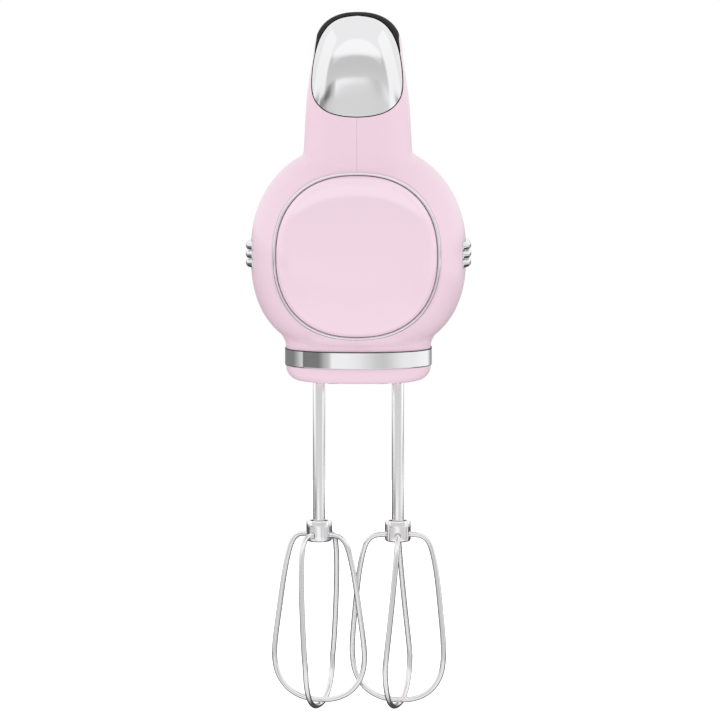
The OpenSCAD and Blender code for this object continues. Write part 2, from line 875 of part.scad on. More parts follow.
// One tooth lying on the pitch circle towards +X, leaning by the lead angle
module wheel_tooth() {
    tip = tooth_half - tooth_top * pressure_tan;
    root = tooth_half + tooth_root * pressure_tan;
    translate([wheel_pitch_r, 0, 0]) rotate([-lead_angle, 0, 0]) translate([0, 0, -wheel_t])
        linear_extrude(2 * wheel_t)
        polygon([[-tooth_root, -root], [tooth_top, -tip], [tooth_top, tip], [-tooth_root, root]]);
}

module worm_wheel(side) {
    core_r = wheel_pitch_r - tooth_root + 0.12;
    color(nylon) from_base() translate([side * side_x, 0, motor_h]) difference() {
        union() {
            intersection() {
                for (k = [0:wheel_teeth - 1]) rotate([0, 0, 360 * k / wheel_teeth]) wheel_tooth();
                cylinder(r = wheel_pitch_r + tooth_top + 2, h = wheel_t, center = true, $fn = round_fn);
            }
            cylinder(r = core_r, h = wheel_t, center = true, $fn = round_fn);
        }
        cylinder(r = spindle_r, h = wheel_t + 2, center = true, $fn = round_fn);
    }
}

module worm_wheel_left() {
    worm_wheel(-1);
}

module worm_wheel_right() {
    worm_wheel(1);
}

// Two-start right-hand worm: its cross-section turned along its axis
module worm() {
    degree = 360 / worm_lead;
    crest = worm_pitch_r + tooth_top;
    root = worm_pitch_r - tooth_root;
    flank = [tooth_half - tooth_top * pressure_tan, tooth_half, tooth_half + tooth_root * pressure_tan] * degree;
    profile = [[-flank[2], root], [-flank[1], worm_pitch_r], [-flank[0], crest], [0, crest],
               [flank[0], crest], [flank[1], worm_pitch_r], [flank[2], root], [90, root]];
    color(steel) from_base() translate([0, -worm_len / 2, motor_h]) rotate([-90, 0, 0]) difference() {
        rotate([0, 0, -180 * worm_len / worm_lead])
            linear_extrude(worm_len, twist = -360 * worm_len / worm_lead, slices = worm_slices * ceil(worm_len / worm_lead))
            polygon([for (start = [0:worm_starts - 1], p = profile)
                let (a = p[0] + 90 + 360 * start / worm_starts) p[1] * [cos(a), sin(a)]]);
        translate([0, 0, -1]) cylinder(r = worm_bore_r, h = worm_len + 2, $fn = round_fn);
    }
}

// ---- Motor ----

module armature_shaft() {
    color(steel) from_base() {
        axle(worm_bore_r, shaft_front_y, shaft_step_y);
        axle(shaft_r, shaft_step_y, shaft_back_y);
    }
}

module armature_core() {
    slots = 12;
    color("#8d9095") from_base() translate([0, stack_y + stack_len, motor_h]) rotate([90, 0, 0])
        linear_extrude(stack_len) difference() {
            circle(r = armature_r, $fn = round_fn);
            circle(r = shaft_r, $fn = round_fn);
            for (k = [0:slots - 1]) rotate(360 * k / slots) {
                translate([armature_r - 2.4, -0.6]) square([4, 1.2]);
                translate([armature_r - 3.4, 0]) circle(r = 2, $fn = bar_fn);
            }
        }
}

module armature_windings() {
    color(copper) from_base() for (y = [stack_y - winding_reach, stack_y + stack_len]) difference() {
        axle(armature_r - 2, y, y + winding_reach);
        axle(shaft_r, y - 1, y + winding_reach + 1);
    }
}

module commutator() {
    bars = 12;
    color(copper) from_base() translate([0, commutator_y + commutator_len, motor_h]) rotate([90, 0, 0])
        linear_extrude(commutator_len) difference() {
            circle(r = commutator_r, $fn = round_fn);
            circle(r = shaft_r, $fn = round_fn);
            for (k = [0:bars - 1]) rotate(360 * k / bars + 15) translate([commutator_r - 0.8, -0.25]) square([2, 0.5]);
        }
}

module fan() {
    hub_r = 6.5;
    disc_t = 1.6;
    blade_t = 1.4;
    color(nylon) from_base() difference() {
        union() {
            axle(fan_r, fan_y, fan_y + disc_t);
            axle(hub_r, fan_y, fan_y + fan_depth);
            for (k = [0:fan_blades - 1]) translate([0, 0, motor_h]) rotate([0, 360 * k / fan_blades, 0])
                block([hub_r - 1, fan_y + disc_t - 0.4, -blade_t / 2], [fan_r - 1, fan_y + fan_depth, blade_t / 2]);
        }
        axle(shaft_r, fan_y - 1, fan_y + fan_depth + 1);
    }
}

// A bearing bracket: a bar across the body with a boss for the shaft's bush
module bracket(y, boss_y0, boss_y1, bore_r) {
    arm = motor_screw_z + 4;
    difference() {
        union() {
            axle(stator_r - 9, y, y + bracket_t);
            block([-motor_screw_x - 7 + gap, y, motor_h - 6.5], [motor_screw_x + 7 - gap, y + bracket_t, motor_h + 6.5]);
            both_sides() block([motor_screw_x - 4, y, motor_h - arm], [motor_screw_x + 4, y + bracket_t, motor_h + arm]);
            axle(shaft_r + bush_t + boss_wall, boss_y0, boss_y1);
        }
        axle(bore_r, boss_y0 - 1, boss_y1 + 1);
        motor_screw_holes(y - 1, y + bracket_t + 1);
    }
}

module motor_screw_holes(y0, y1) {
    for (x = [-motor_screw_x, motor_screw_x], z = [-motor_screw_z, motor_screw_z])
        translate([x, 0, z]) axle(motor_screw_r + running, y0, y1);
}

module front_bracket() {
    color("#a9acb0") from_base() {
        bracket(front_bracket_y, front_bracket_y, front_bracket_y + bracket_t, shaft_r + 1);
        for (x = [-motor_screw_x, motor_screw_x], z = [-motor_screw_z, motor_screw_z]) difference() {
            translate([x, 0, z]) axle(3, front_bracket_y + bracket_t, stack_y);
            translate([x, 0, z]) axle(motor_screw_r + running, front_bracket_y, stack_y + 1);
        }
        both_sides() block([7, frame_half + frame_wall_t, motor_h - 4], [11, front_bracket_y, motor_h + 4]);
    }
}

module rear_bracket() {
    color("#a9acb0") from_base() {
        bracket(rear_bracket_y, rear_bracket_y, rear_bracket_y + shaft_bush_len, shaft_r + bush_t);
        for (x = [-motor_screw_x, motor_screw_x], z = [-motor_screw_z, motor_screw_z]) difference() {
            translate([x, 0, z]) axle(3, stack_y + stack_len, rear_bracket_y);
            translate([x, 0, z]) axle(motor_screw_r + running, stack_y, rear_bracket_y + 1);
        }
    }
}

module motor_screws() {
    color(steel) from_base()
        for (x = [-motor_screw_x, motor_screw_x], z = [-motor_screw_z, motor_screw_z]) translate([x, 0, z]) {
            axle(motor_screw_r, front_bracket_y, rear_bracket_y + bracket_t);
            axle(screw_head_r, rear_bracket_y + bracket_t, rear_bracket_y + bracket_t + screw_head_h);
        }
}

module stator_core() {
    bore = armature_r + air_gap;
    color("#8d9095") from_base() translate([0, stack_y + stack_len, motor_h]) rotate([90, 0, 0])
        linear_extrude(stack_len) difference() {
            circle(r = stator_r, $fn = round_fn);
            circle(r = bore, $fn = round_fn);
            for (s = [-1, 1]) translate([-coil_r + 2, s > 0 ? bore - 2 : -bore - coil_t + 2]) square([2 * coil_r - 4, coil_t]);
            for (x = [-motor_screw_x, motor_screw_x], z = [-motor_screw_z, motor_screw_z])
                translate([x, z]) circle(r = motor_screw_r + running, $fn = bar_fn);
        }
}

// Two saddle coils that fill the stator's windows above and below the armature
module field_coils() {
    bore = armature_r + air_gap;
    half = coil_r - 2.2;
    color(copper) from_base() for (s = [0, 1]) translate([0, 0, motor_h]) mirror([0, 0, s]) difference() {
        block([-half, stack_y - winding_reach + 1, bore - 1.8], [half, stack_y + stack_len + winding_reach - 1, bore + coil_t - 2.2]);
        translate([0, 0, -motor_h]) axle(bore, stack_y - winding_reach, stack_y + stack_len + winding_reach);
    }
}

module brush_holders() {
    color(bronze) from_base() both_sides() difference() {
        block([holder_x0, brush_y - brush_w / 2 - holder_wall, motor_h - brush_h / 2 - holder_wall],
              [holder_x0 + holder_len, rear_bracket_y, motor_h + brush_h / 2 + holder_wall]);
        block([holder_x0 - 1, brush_y - brush_w / 2 - running, motor_h - brush_h / 2 - running],
              [holder_x0 + holder_len - 1, brush_y + brush_w / 2 + running, motor_h + brush_h / 2 + running]);
    }
}

module carbon_brushes() {
    color("#303033") from_base() both_sides()
        block([commutator_r + 0.1, brush_y - brush_w / 2, motor_h - brush_h / 2],
              [commutator_r + 0.1 + brush_len, brush_y + brush_w / 2, motor_h + brush_h / 2]);
}

module brush_springs() {
    coils = 4;
    wire = 0.4;
    start = commutator_r + 0.1 + brush_len + wire;
    pitch = (holder_x0 + holder_len - 1 - wire - start) / (coils - 1);
    color(steel) from_base() both_sides() for (k = [0:coils - 1])
        translate([start + k * pitch, brush_y, motor_h]) rotate([0, 90, 0])
            rotate_extrude($fn = bar_fn) translate([1.8, 0]) circle(r = wire, $fn = bar_fn);
}

// ---- Ejector and lever ----

module ejector_yoke() {
    post_top = lever_pin_h - gap;
    color(nylon) from_base() union() {
        both_sides() translate([side_x, 0, 0]) round_bar(rod_r, whisk_top + rod_gap, yoke_z0 + 1);
        block([-side_x - 3, -yoke_depth / 2, yoke_z0], [side_x + 3, yoke_depth / 2, yoke_z0 + yoke_t]);
        block([-post_w / 2, -post_d / 2, yoke_z0 + 1], [post_w / 2, post_d / 2, post_top - post_d / 2]);
        cross_bar(post_d / 2, -post_w / 2, post_w / 2, 0, post_top - post_d / 2);
    }
}

// Compression spring between the gearbox cover and the yoke
module ejector_spring() {
    z0 = frame_z1 + cover_plate_t + spring_wire / 2 + 0.05;
    z1 = yoke_z0 - spring_wire / 2 - 0.05;
    turn_steps = 14;
    steps = spring_turns * turn_steps;
    color(steel) from_base() loft([
        for (i = [0:steps])
            let (a = 360 * i / turn_steps, z = z0 + (z1 - z0) * i / steps)
            [for (k = [0:5])
                let (b = 60 * k, r = spring_r + spring_wire / 2 * cos(b))
                [r * cos(a), r * sin(a), z + spring_wire / 2 * sin(b)]]]);
}

module lever_plate() {
    color(chrome) from_base() intersection() {
        plate_prism(0, plate_end_y);
        difference() {
            loop_form(0);
            loop_form(-lever_plate_t);
        }
        union() {
            for (z = [104:6:146]) hull() {
                block([-30, -45, z], [30, plate_end_y, z + 6]);
            }
        }
    }
}

module lever_arm() {
    back = plate_inner_y();
    color(black) from_base() difference() {
        union() {
            cross_bar(barrel_r, -barrel_half, barrel_half, -lever_pin_y, lever_pin_h);
            block([-arm_w / 2, -lever_pin_y, lever_pin_h], [arm_w / 2, arm_back, lever_pin_h + arm_t]);
            block([-arm_w / 2, back, lever_pin_h + 1], [arm_w / 2, -lever_pin_y, lever_pin_h + arm_t]);
            block([-3, back, lever_pin_h + arm_t - 1], [3, -lever_pin_y + 3, lever_pin_h + 16]);
        }
        cross_bar(lever_pin_d / 2 + running, -barrel_half - 1, barrel_half + 1, -lever_pin_y, lever_pin_h);
    }
}

// Depth of the plate's inner face near the hinge
function plate_inner_y() = -36.3 + lever_plate_t + 0.2;

module lever_pin() {
    half = barrel_half + lug_gap + lug_t;
    color(steel) from_base() cross_bar(lever_pin_d / 2, -half, half, -lever_pin_y, lever_pin_h);
}

// ---- Panel, keys and boards ----

module control_panel() {
    color(black) from_base() difference() {
        intersection() {
            difference() {
                loop_form(0);
                loop_form(-panel_t);
            }
            panel_prism(0);
            union() {
                for (y = [-40:12:56]) hull() {
                    block([-30, y, 120], [30, y + 12, top + 5]);
                }
            }
        }
        plate_prism(lever_gap, plate_back_y);
        for (p = [minus_place, plus_place, turbo_place, power_place])
            translate([p[0], p[1], 0]) round_bar(key_d / 2 + key_gap, 100, top + 5);
    }
}

module key(place) {
    color(chrome) from_base() translate([place[0], place[1], 0]) difference() {
        union() {
            round_bar(key_d / 2, key_seat, key_top);
            round_bar(key_d / 2 + key_flange, key_seat, key_seat + key_flange_t);
        }
        translate([0, 0, key_top + 14]) sphere(r = 14.6, $fn = round_fn);
    }
}

module power_key() {
    key(power_place);
}

module turbo_key() {
    key(turbo_place);
}

module faster_key() {
    key(plus_place);
}

module slower_key() {
    key(minus_place);
}

module key_mat() {
    color(rubber) from_base()
        block([-display_w / 2, display_y0, mat_top - mat_t], [display_w / 2, display_y1, mat_top]);
}

module display_board() {
    color(board) from_base()
        block([-display_w / 2, display_y0, display_z()], [display_w / 2, display_y1, display_z() + display_t]);
}

module control_board() {
    color(board) from_base() {
        block([-8.5, 59, control_z()], [8.5, 99, control_z() + 1.6]);
        block([-5, 64, control_z() + 1.6], [5, 74, control_z() + 8]);
        block([-4, 80, control_z() + 1.6], [5, 90, control_z() + 6]);
    }
}

// ---- Whisks ----

module whisk_shaft(side) {
    color(chrome) from_base() translate([side * side_x, 0, 0]) {
        rotate_extrude($fn = round_fn) polygon([
            [0, -collar_drop - collar_h + collar_floor], [whisk_shaft_d / 2, -collar_drop - collar_h + collar_floor],
            [whisk_shaft_d / 2, whisk_top - shaft_end_r], [whisk_shaft_d / 2 - shaft_end_r, whisk_top], [0, whisk_top]]);
        rotate([0, 0, wing_angle(side)]) block([-lug_r, -lug_w / 2, lug_z], [lug_r, lug_w / 2, lug_z + lug_h]);
    }
}

module whisk_collar(side) {
    low = -collar_drop - collar_h;
    edge = 1.2;
    r = collar_d / 2;
    color(chrome) from_base() translate([side * side_x, 0, 0]) difference() {
        rotate_extrude($fn = round_fn) polygon([
            [0, low], [r - edge, low], [r - edge * 0.3, low + edge * 0.3], [r, low + edge], [r, -collar_drop],
            [r - collar_wall + 0.5, -collar_drop], [r - collar_wall, -collar_drop - 0.6],
            [r - collar_wall, low + collar_floor], [0, low + collar_floor]]);
        for (k = [0:3]) translate([0, 0, -exit_drop]) rotate([0, 0, 90 * k + start_angle(side)])
            translate([2.6, 0, 0]) rotate([0, 90, 0]) cylinder(r = wire_r + running, h = 6, $fn = bar_fn);
    }
}

function start_angle(side) = side > 0 ? 0 : left_start;

// A closed balloon loop: down one side of the whisk and up the other
module wire_loop(side, quarter) {
    drop = quarter > 0 ? wire_d + 0.05 : 0;
    scale_r = whisk_r / profile_r;
    scale_h = balloon_h / profile_h;
    half = [for (p = smooth(loop_profile, wire_steps)) p];
    turn = side > 0 ? -loop_turn : loop_turn;
    inner_r = collar_d / 2 - collar_wall;
    down = [for (p = half)
        let (z = p[1] * (scale_h * profile_h + drop) / profile_h,
             a = start_angle(side) + quarter + turn * min(1, p[1] / 50),
             r = max(0, p[0] <= 9.6 ? inner_r + 0.05 + (p[0] - 3.5) * (9.6 * scale_r - inner_r) / 6.1 : p[0] * scale_r))
        [r * cos(a), r * sin(a), -exit_drop - z]];
    up = [for (i = [len(down) - 2:-1:0]) [-down[i][0], -down[i][1], down[i][2]]];
    color(chrome) from_base() translate([side * side_x, 0, 0]) tube(concat(down, up), wire_r, wire_sides);
}

function unit(v) = v / norm(v);

// Normals carried along a path so that the tube doesn't twist
function carried(path, i, n) =
    i >= len(path) ? [] :
    let (t = tangent(path, i), flat = unit(n - (n * t) * t)) concat([flat], carried(path, i + 1, flat));

function tangent(path, i) = unit(path[min(i + 1, len(path) - 1)] - path[max(i - 1, 0)]);

module tube(path, r, sides) {
    normals = carried(path, 0, [0, 0, 1]);
    loft([
        for (i = [0:len(path) - 1])
            let (t = tangent(path, i), n = normals[i], b = cross(t, n))
            [for (k = [0:sides - 1]) let (a = -360 * k / sides) path[i] + r * (cos(a) * n + sin(a) * b)]]);
}

module whisk_left_shaft() {
    whisk_shaft(-1);
}

module whisk_left_collar() {
    whisk_collar(-1);
}

module whisk_left_loop_a() {
    wire_loop(-1, 0);
}

module whisk_left_loop_b() {
    wire_loop(-1, 90);
}

module whisk_right_shaft() {
    whisk_shaft(1);
}

module whisk_right_collar() {
    whisk_collar(1);
}

module whisk_right_loop_a() {
    wire_loop(1, 90);
}

module whisk_right_loop_b() {
    wire_loop(1, 0);
}

housing_left();
housing_right();
base_cover();
chrome_band();
front_cap();
front_ring();
side_trim_left();
side_trim_right();
control_panel();
lever_plate();
lever_arm();
lever_pin();
ejector_yoke();
ejector_spring();
power_key();
turbo_key();
faster_key();
slower_key();
key_mat();
display_board();
control_board();
heel_pads();
cord_inlet();
housing_screws();
base_screws();
gearbox_frame();
gearbox_cover();
spindle_bushes();
spindle_left();
spindle_right();
worm_wheel_left();
worm_wheel_right();
worm();
armature_shaft();
armature_core();
armature_windings();
commutator();
fan();
shaft_bushes();
front_bracket();
rear_bracket();
stator_core();
field_coils();
motor_screws();
brush_holders();
carbon_brushes();
brush_springs();
socket_rings();
whisk_left_shaft();
whisk_left_collar();
whisk_left_loop_a();
whisk_left_loop_b();
whisk_right_shaft();
whisk_right_collar();
whisk_right_loop_a();
whisk_right_loop_b();
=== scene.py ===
"""Dresses the hand mixer's solids with smooth housings, plated trim, keys and wire whisks.

Lengths are in millimetres and are laid out as the solids are: x across, y back from the spindle plane,
z up from the underside of the base. Form.mesh() turns them into metres in the row frame.
"""

import json
import logging
import math
from dataclasses import dataclass, field
from enum import Enum
from typing import Callable, Sequence

import bmesh
import bpy
from mathutils import Matrix, Vector
from mathutils.kdtree import KDTree


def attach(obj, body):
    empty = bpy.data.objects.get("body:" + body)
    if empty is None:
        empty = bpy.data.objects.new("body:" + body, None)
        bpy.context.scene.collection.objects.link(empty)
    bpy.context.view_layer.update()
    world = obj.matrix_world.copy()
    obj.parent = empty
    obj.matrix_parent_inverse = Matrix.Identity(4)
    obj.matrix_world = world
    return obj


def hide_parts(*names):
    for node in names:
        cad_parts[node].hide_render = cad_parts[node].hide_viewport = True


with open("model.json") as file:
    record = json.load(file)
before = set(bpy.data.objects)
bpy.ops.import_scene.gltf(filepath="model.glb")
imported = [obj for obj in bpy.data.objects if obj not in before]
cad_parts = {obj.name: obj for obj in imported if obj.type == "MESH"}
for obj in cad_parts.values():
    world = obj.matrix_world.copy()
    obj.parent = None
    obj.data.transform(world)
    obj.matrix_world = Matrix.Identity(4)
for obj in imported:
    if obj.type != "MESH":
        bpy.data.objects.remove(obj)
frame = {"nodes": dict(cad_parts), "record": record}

LOG = logging.getLogger("mixer")
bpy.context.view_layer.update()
SLOT_OF = {row["node"]: row["material_slot"] for row in frame["record"]["subparts"]}
BODY_OF = {node: body for body, nodes in frame["record"]["behaviour"]["bodies"].items() for node in nodes}
# Middle of the hand grip, which is the row frame's origin
GRIP = Vector((0.0, 60.0, 130.9))
# Edges that turn by less than this are shaded smooth
SMOOTH_ANGLE = math.radians(32)
# Points on the round outlines of the cap and the foot
RING = 160
# Vertices closer than this are one, in millimetres
MERGE = 1e-4
WHITE = (1, 1, 1, 1)
Point = Sequence[float]
Pair = tuple[float, float]
Lift = Callable[[float, float, float], Point]


class Side(Enum):
    """Side of the mixer, as the sign of x."""

    LEFT = -1
    RIGHT = 1

    @property
    def word(self) -> str:
        """The side's name in lower case."""
        return self.name.lower()


class Cut(Enum):
    """How one solid acts on another."""

    JOIN = "UNION"
    REMOVE = "DIFFERENCE"
    KEEP = "INTERSECT"


class Skin(Enum):
    """Material slots of a carved mesh."""

    OUTSIDE = 0
    # Black: painted shade on recess walls, and the keys' black signs
    RECESS = 1


# ---- Curves and sections ----


def spow(value: float, power: float) -> float:
    """A power that keeps the sign of its base."""
    return math.copysign(abs(value) ** power, value)


def section(half: float, up: float, down: float, full_up: float, full_down: float, count: int) -> list[tuple]:
    """Points of a superelliptic section.

    Args:
        half: half width.
        up: height above the axis.
        down: depth below the axis.
        full_up: fullness above the axis.
        full_down: fullness below the axis.
        count: number of points.

    Returns:
        Pairs of coordinates, counter-clockwise from the +x end.
    """
    points = []
    for k in range(count):
        a = 2 * math.pi * k / count
        c, s = math.cos(a), math.sin(a)
        c, s = (0.0 if abs(c) < 1e-12 else c), (0.0 if abs(s) < 1e-12 else s)
        e = 2 / (full_up if s >= 0 else full_down)
        points.append((half * spow(c, e), (up if s >= 0 else down) * spow(s, e)))
    return points


def blend4(a: Point, b: Point, c: Point, d: Point, t: float) -> list[float]:
    """Catmull-Rom blend between b and c, value by value.

    Args:
        a: the values before the span.
        b: the values at its start.
        c: the values at its end.
        d: the values after it.
        t: share of the span.

    Returns:
        The blended values.
    """
    return [
        (2 * q + (r - p) * t + (2 * p - 5 * q + 4 * r - s) * t * t + (3 * q - p - 3 * r + s) * t**3) / 2
        for p, q, r, s in zip(a, b, c, d)
    ]


def smooth(rows: Sequence[Point], steps: int, passes: int = 0) -> list[list[float]]:
    """Rows of values joined by a smooth curve.

    Args:
        rows: the values to pass through.
        steps: steps in each span.
        passes: rounds of averaging with the neighbours, with the ends held.

    Returns:
        The finer rows.
    """
    last = len(rows) - 1
    out = []
    for i in range(last):
        before, after = rows[max(i - 1, 0)], rows[min(i + 2, last)]
        out += [blend4(before, rows[i], rows[i + 1], after, k / steps) for k in range(steps)]
    out.append(list(rows[last]))
    for _ in range(passes):
        inner = [[(p + 2 * q + r) / 4 for p, q, r in zip(*trio)] for trio in zip(out, out[1:], out[2:])]
        out = [out[0], *inner, out[-1]]
    return out


def angles(end: float, steps: int) -> list[float]:
    """Equally spaced angles from 0 to end, with both."""
    return [end * k / steps for k in range(steps + 1)]


# ---- Mesh building ----


class Form:
    """A mesh under construction, in millimetres."""

    def __init__(self) -> None:
        """Starts an empty mesh."""
        self.bm = bmesh.new()

    def sheet(
        self,
        around: int,
        along: int,
        point: Callable[[int, int], Point],
        wrap: tuple[bool, bool] = (True, False),
    ) -> "Form":
        """Adds a grid and puts each of its corners in place.

        Args:
            around: cells in the first direction.
            along: cells in the second direction.
            point: gives the place of corner (i, j).
            wrap: whether the grid closes on itself in each direction.

        Returns:
            This form.
        """
        verts = bmesh.ops.create_grid(self.bm, x_segments=around, y_segments=along, size=1.0)["verts"]
        for v in verts:
            i, j = round((v.co.x + 1) / 2 * around), round((v.co.y + 1) / 2 * along)
            v.co = Vector(point(i % around if wrap[0] else i, j % along if wrap[1] else j))
        bmesh.ops.remove_doubles(self.bm, verts=verts, dist=MERGE)
        return self

    def loft(self, rings: Sequence[Sequence[Point]]) -> "Form":
        """Adds a closed solid through rings of equal length."""
        self.sheet(len(rings[0]), len(rings) - 1, lambda i, j: rings[j][i])
        return self.close()

    def close(self) -> "Form":
        """Fills open ends and turns the faces outwards."""
        bmesh.ops.holes_fill(self.bm, edges=self.bm.edges[:], sides=0)
        return self.outward()

    def outward(self) -> "Form":
        """Turns the faces outwards."""
        bmesh.ops.recalc_face_normals(self.bm, faces=self.bm.faces[:])
        return self

    def place(self, matrix: Matrix) -> "Form":
        """Moves, turns or scales the whole form."""
        bmesh.ops.transform(self.bm, matrix=matrix, verts=self.bm.verts[:])
        return self

    def lathe(self, profile: Sequence[Pair], centre: Point = (0, 0, 0), steps: int = 64) -> "Form":
        """Adds a profile of (radius, height) pairs turned about a vertical axis.

        Args:
            profile: the pairs, from one end of the axis or round a closed ring.
            centre: a point on the axis.
            steps: number of facets.

        Returns:
            This form.
        """
        ring = profile[0][0] > 0 and profile[-1][0] > 0
        verts = [self.bm.verts.new((r, 0, z)) for r, z in profile]
        pairs = list(zip(verts, verts[1:])) + ([(verts[-1], verts[0])] if ring else [])
        edges = [self.bm.edges.new(pair) for pair in pairs]
        turn = {"cent": (0, 0, 0), "axis": (0, 0, 1), "angle": 2 * math.pi, "steps": steps}
        bmesh.ops.spin(self.bm, geom=verts + edges, use_merge=True, **turn)
        turned = [v for v in self.bm.verts if v.link_faces and not v.tag]
        bmesh.ops.remove_doubles(self.bm, verts=turned, dist=MERGE)
        fresh = [v for v in self.bm.verts if not v.tag]
        bmesh.ops.translate(self.bm, verts=fresh, vec=Vector(centre))
        for v in self.bm.verts:
            v.tag = True
        return self.outward()

    def box(self, low: Point, high: Point) -> "Form":
        """Adds a box between two corners.

        Args:
            low: the lower corner.
            high: the upper corner.

        Returns:
            This form.
        """
        verts = bmesh.ops.create_cube(self.bm, size=1.0)["verts"]
        low_v, high_v = Vector(low), Vector(high)
        bmesh.ops.scale(self.bm, verts=verts, vec=high_v - low_v)
        bmesh.ops.translate(self.bm, verts=verts, vec=(low_v + high_v) / 2)
        return self

    def rod(self, radius: float, start: Point, end: Point, sides: int = 48) -> "Form":
        """Adds a closed cylinder between two points.

        Args:
            radius: its radius.
            start: middle of one end.
            end: middle of the other end.
            sides: number of facets.

        Returns:
            This form.
        """
        a, b = Vector(start), Vector(end)
        turn = (b - a).to_track_quat("Z", "Y").to_matrix().to_4x4()
        matrix = Matrix.Translation((a + b) / 2) @ turn
        size = {"radius1": radius, "radius2": radius, "depth": (b - a).length}
        bmesh.ops.create_cone(self.bm, cap_ends=True, segments=sides, matrix=matrix, **size)
        return self

    def prism(self, outline: Sequence[Pair], lift: Lift, d0: float, d1: float) -> "Form":
        """Adds a straight solid on an outline.

        Args:
            outline: pairs of coordinates.
            lift: places a pair at a distance along the prism.
            d0: distance of the first end.
            d1: distance of the second end.

        Returns:
            This form.
        """
        face = self.bm.faces.new([self.bm.verts.new(lift(a, b, d0)) for a, b in outline])
        made = bmesh.ops.extrude_face_region(self.bm, geom=[face])["geom"]
        move = Vector(lift(0, 0, d1)) - Vector(lift(0, 0, d0))
        bmesh.ops.translate(self.bm, verts=[g for g in made if isinstance(g, bmesh.types.BMVert)], vec=move)
        return self.outward()

    def tube(self, path: Sequence[Point], radius: float, sides: int = 14) -> "Form":
        """Adds a round wire along a path, with its ends closed.

        Args:
            path: the points of its middle line.
            radius: its radius.
            sides: number of facets.

        Returns:
            This form.
        """
        points = [Vector(p) for p in path]
        last = len(points) - 1
        normal = Vector((0, 0, 1))
        rings = []
        for i, p in enumerate(points):
            t = (points[min(i + 1, last)] - points[max(i - 1, 0)]).normalized()
            normal = (normal - t * normal.dot(t)).normalized()
            across = t.cross(normal)
            spokes = [math.cos(a) * normal + math.sin(a) * across for a in angles(2 * math.pi, sides)[:-1]]
            rings.append([p + radius * spoke for spoke in spokes])
        return self.loft(rings)

    def paint(self, skin: Skin) -> "Form":
        """Puts every face on one material slot.

        Args:
            skin: the slot.

        Returns:
            This form.
        """
        for f in self.bm.faces:
            f.material_index = skin.value
        return self

    def take(self, other: "Form") -> "Form":
        """Adds the mesh of another form, which is used up.

        Args:
            other: the form to add.

        Returns:
            This form.
        """
        joined = other.raw()
        self.bm.from_mesh(joined)
        bpy.data.meshes.remove(joined)
        return self

    def carve(self, how: Cut, *tools: "Form") -> "Form":
        """Joins, removes or keeps other solids.

        Args:
            how: what the others do to this solid, which is used up.
            tools: the others, which are used up.

        Returns:
            The result.
        """
        parts = [bpy.data.objects.new("solid", form.raw()) for form in (self, *tools)]
        for part in parts:
            bpy.context.scene.collection.objects.link(part)
            while len(part.data.materials) < len(Skin):
                part.data.materials.append(None)
        for tool in parts[1:]:
            step = parts[0].modifiers.new("step", "BOOLEAN")
            step.operation = how.value
            step.solver = "MANIFOLD"
            step.object = tool
        bpy.context.view_layer.update()
        finished = parts[0].evaluated_get(bpy.context.evaluated_depsgraph_get())
        result = bpy.data.meshes.new_from_object(finished)
        for part in parts:
            mesh = part.data
            bpy.data.objects.remove(part)
            bpy.data.meshes.remove(mesh)
        return Form.of(result)

    def raw(self) -> bpy.types.Mesh:
        """The mesh in millimetres, for carving.

        Returns:
            The mesh. This form is used up.
        """
        mesh = bpy.data.meshes.new("raw")
        self.bm.to_mesh(mesh)
        self.bm.free()
        return mesh

    @staticmethod
    def of(mesh: bpy.types.Mesh) -> "Form":
        """A form made from a mesh, which is removed.

        Args:
            mesh: the mesh.

        Returns:
            The form.
        """
        form = Form()
        form.bm.from_mesh(mesh)
        bpy.data.meshes.remove(mesh)
        return form

    def mesh(self, name: str) -> bpy.types.Mesh:
        """The finished mesh in metres in the row frame, shaded smooth up to a fixed angle.

        Args:
            name: the mesh's name.

        Returns:
            The mesh. This form is used up.
        """
        self.place(Matrix.Scale(0.001, 4) @ Matrix.Translation(-GRIP))
        for f in self.bm.faces:
            f.smooth = True
        for e in self.bm.edges:
            e.smooth = len(e.link_faces) == 2 and e.calc_face_angle(0) < SMOOTH_ANGLE
        mesh = bpy.data.meshes.new(name)
        self.bm.to_mesh(mesh)
        self.bm.free()
        return mesh


# ---- Shader building ----


class Wire:
    """An output socket whose arithmetic adds Math nodes."""

    def __init__(self, shader: "Shader", socket: bpy.types.NodeSocket) -> None:
        """Wraps a socket of a shader."""
        self.shader = shader
        self.socket = socket

    def _math(self, operation: str, *values: "Wire | float") -> "Wire":
        """A Math node on these values."""
        return self.shader.node("ShaderNodeMath", {"operation": operation}, dict(enumerate(values)))

    def __add__(self, other: "Wire | float") -> "Wire":
        """Sum."""
        return self._math("ADD", self, other)

    def __sub__(self, other: "Wire | float") -> "Wire":
        """Difference."""
        return self._math("SUBTRACT", self, other)

    def __rsub__(self, other: float) -> "Wire":
        """Difference from a number."""
        return self._math("SUBTRACT", other, self)

    def __mul__(self, other: "Wire | float") -> "Wire":
        """Product."""
        return self._math("MULTIPLY", self, other)

    __radd__ = __add__
    __rmul__ = __mul__

    def clamp(self) -> "Wire":
        """Held between 0 and 1."""
        return self.shader.node("ShaderNodeClamp", {}, {0: self})

    def ramp(self, low: float, high: float) -> "Wire":
        """0 at low, 1 at high, eased between.

        Args:
            low: where it starts to rise.
            high: where it is full.

        Returns:
            The share.
        """
        return self.shader.node(
            "ShaderNodeMapRange",
            {"interpolation_type": "SMOOTHSTEP"},
            {"Value": self, "From Min": low, "From Max": high},
        )


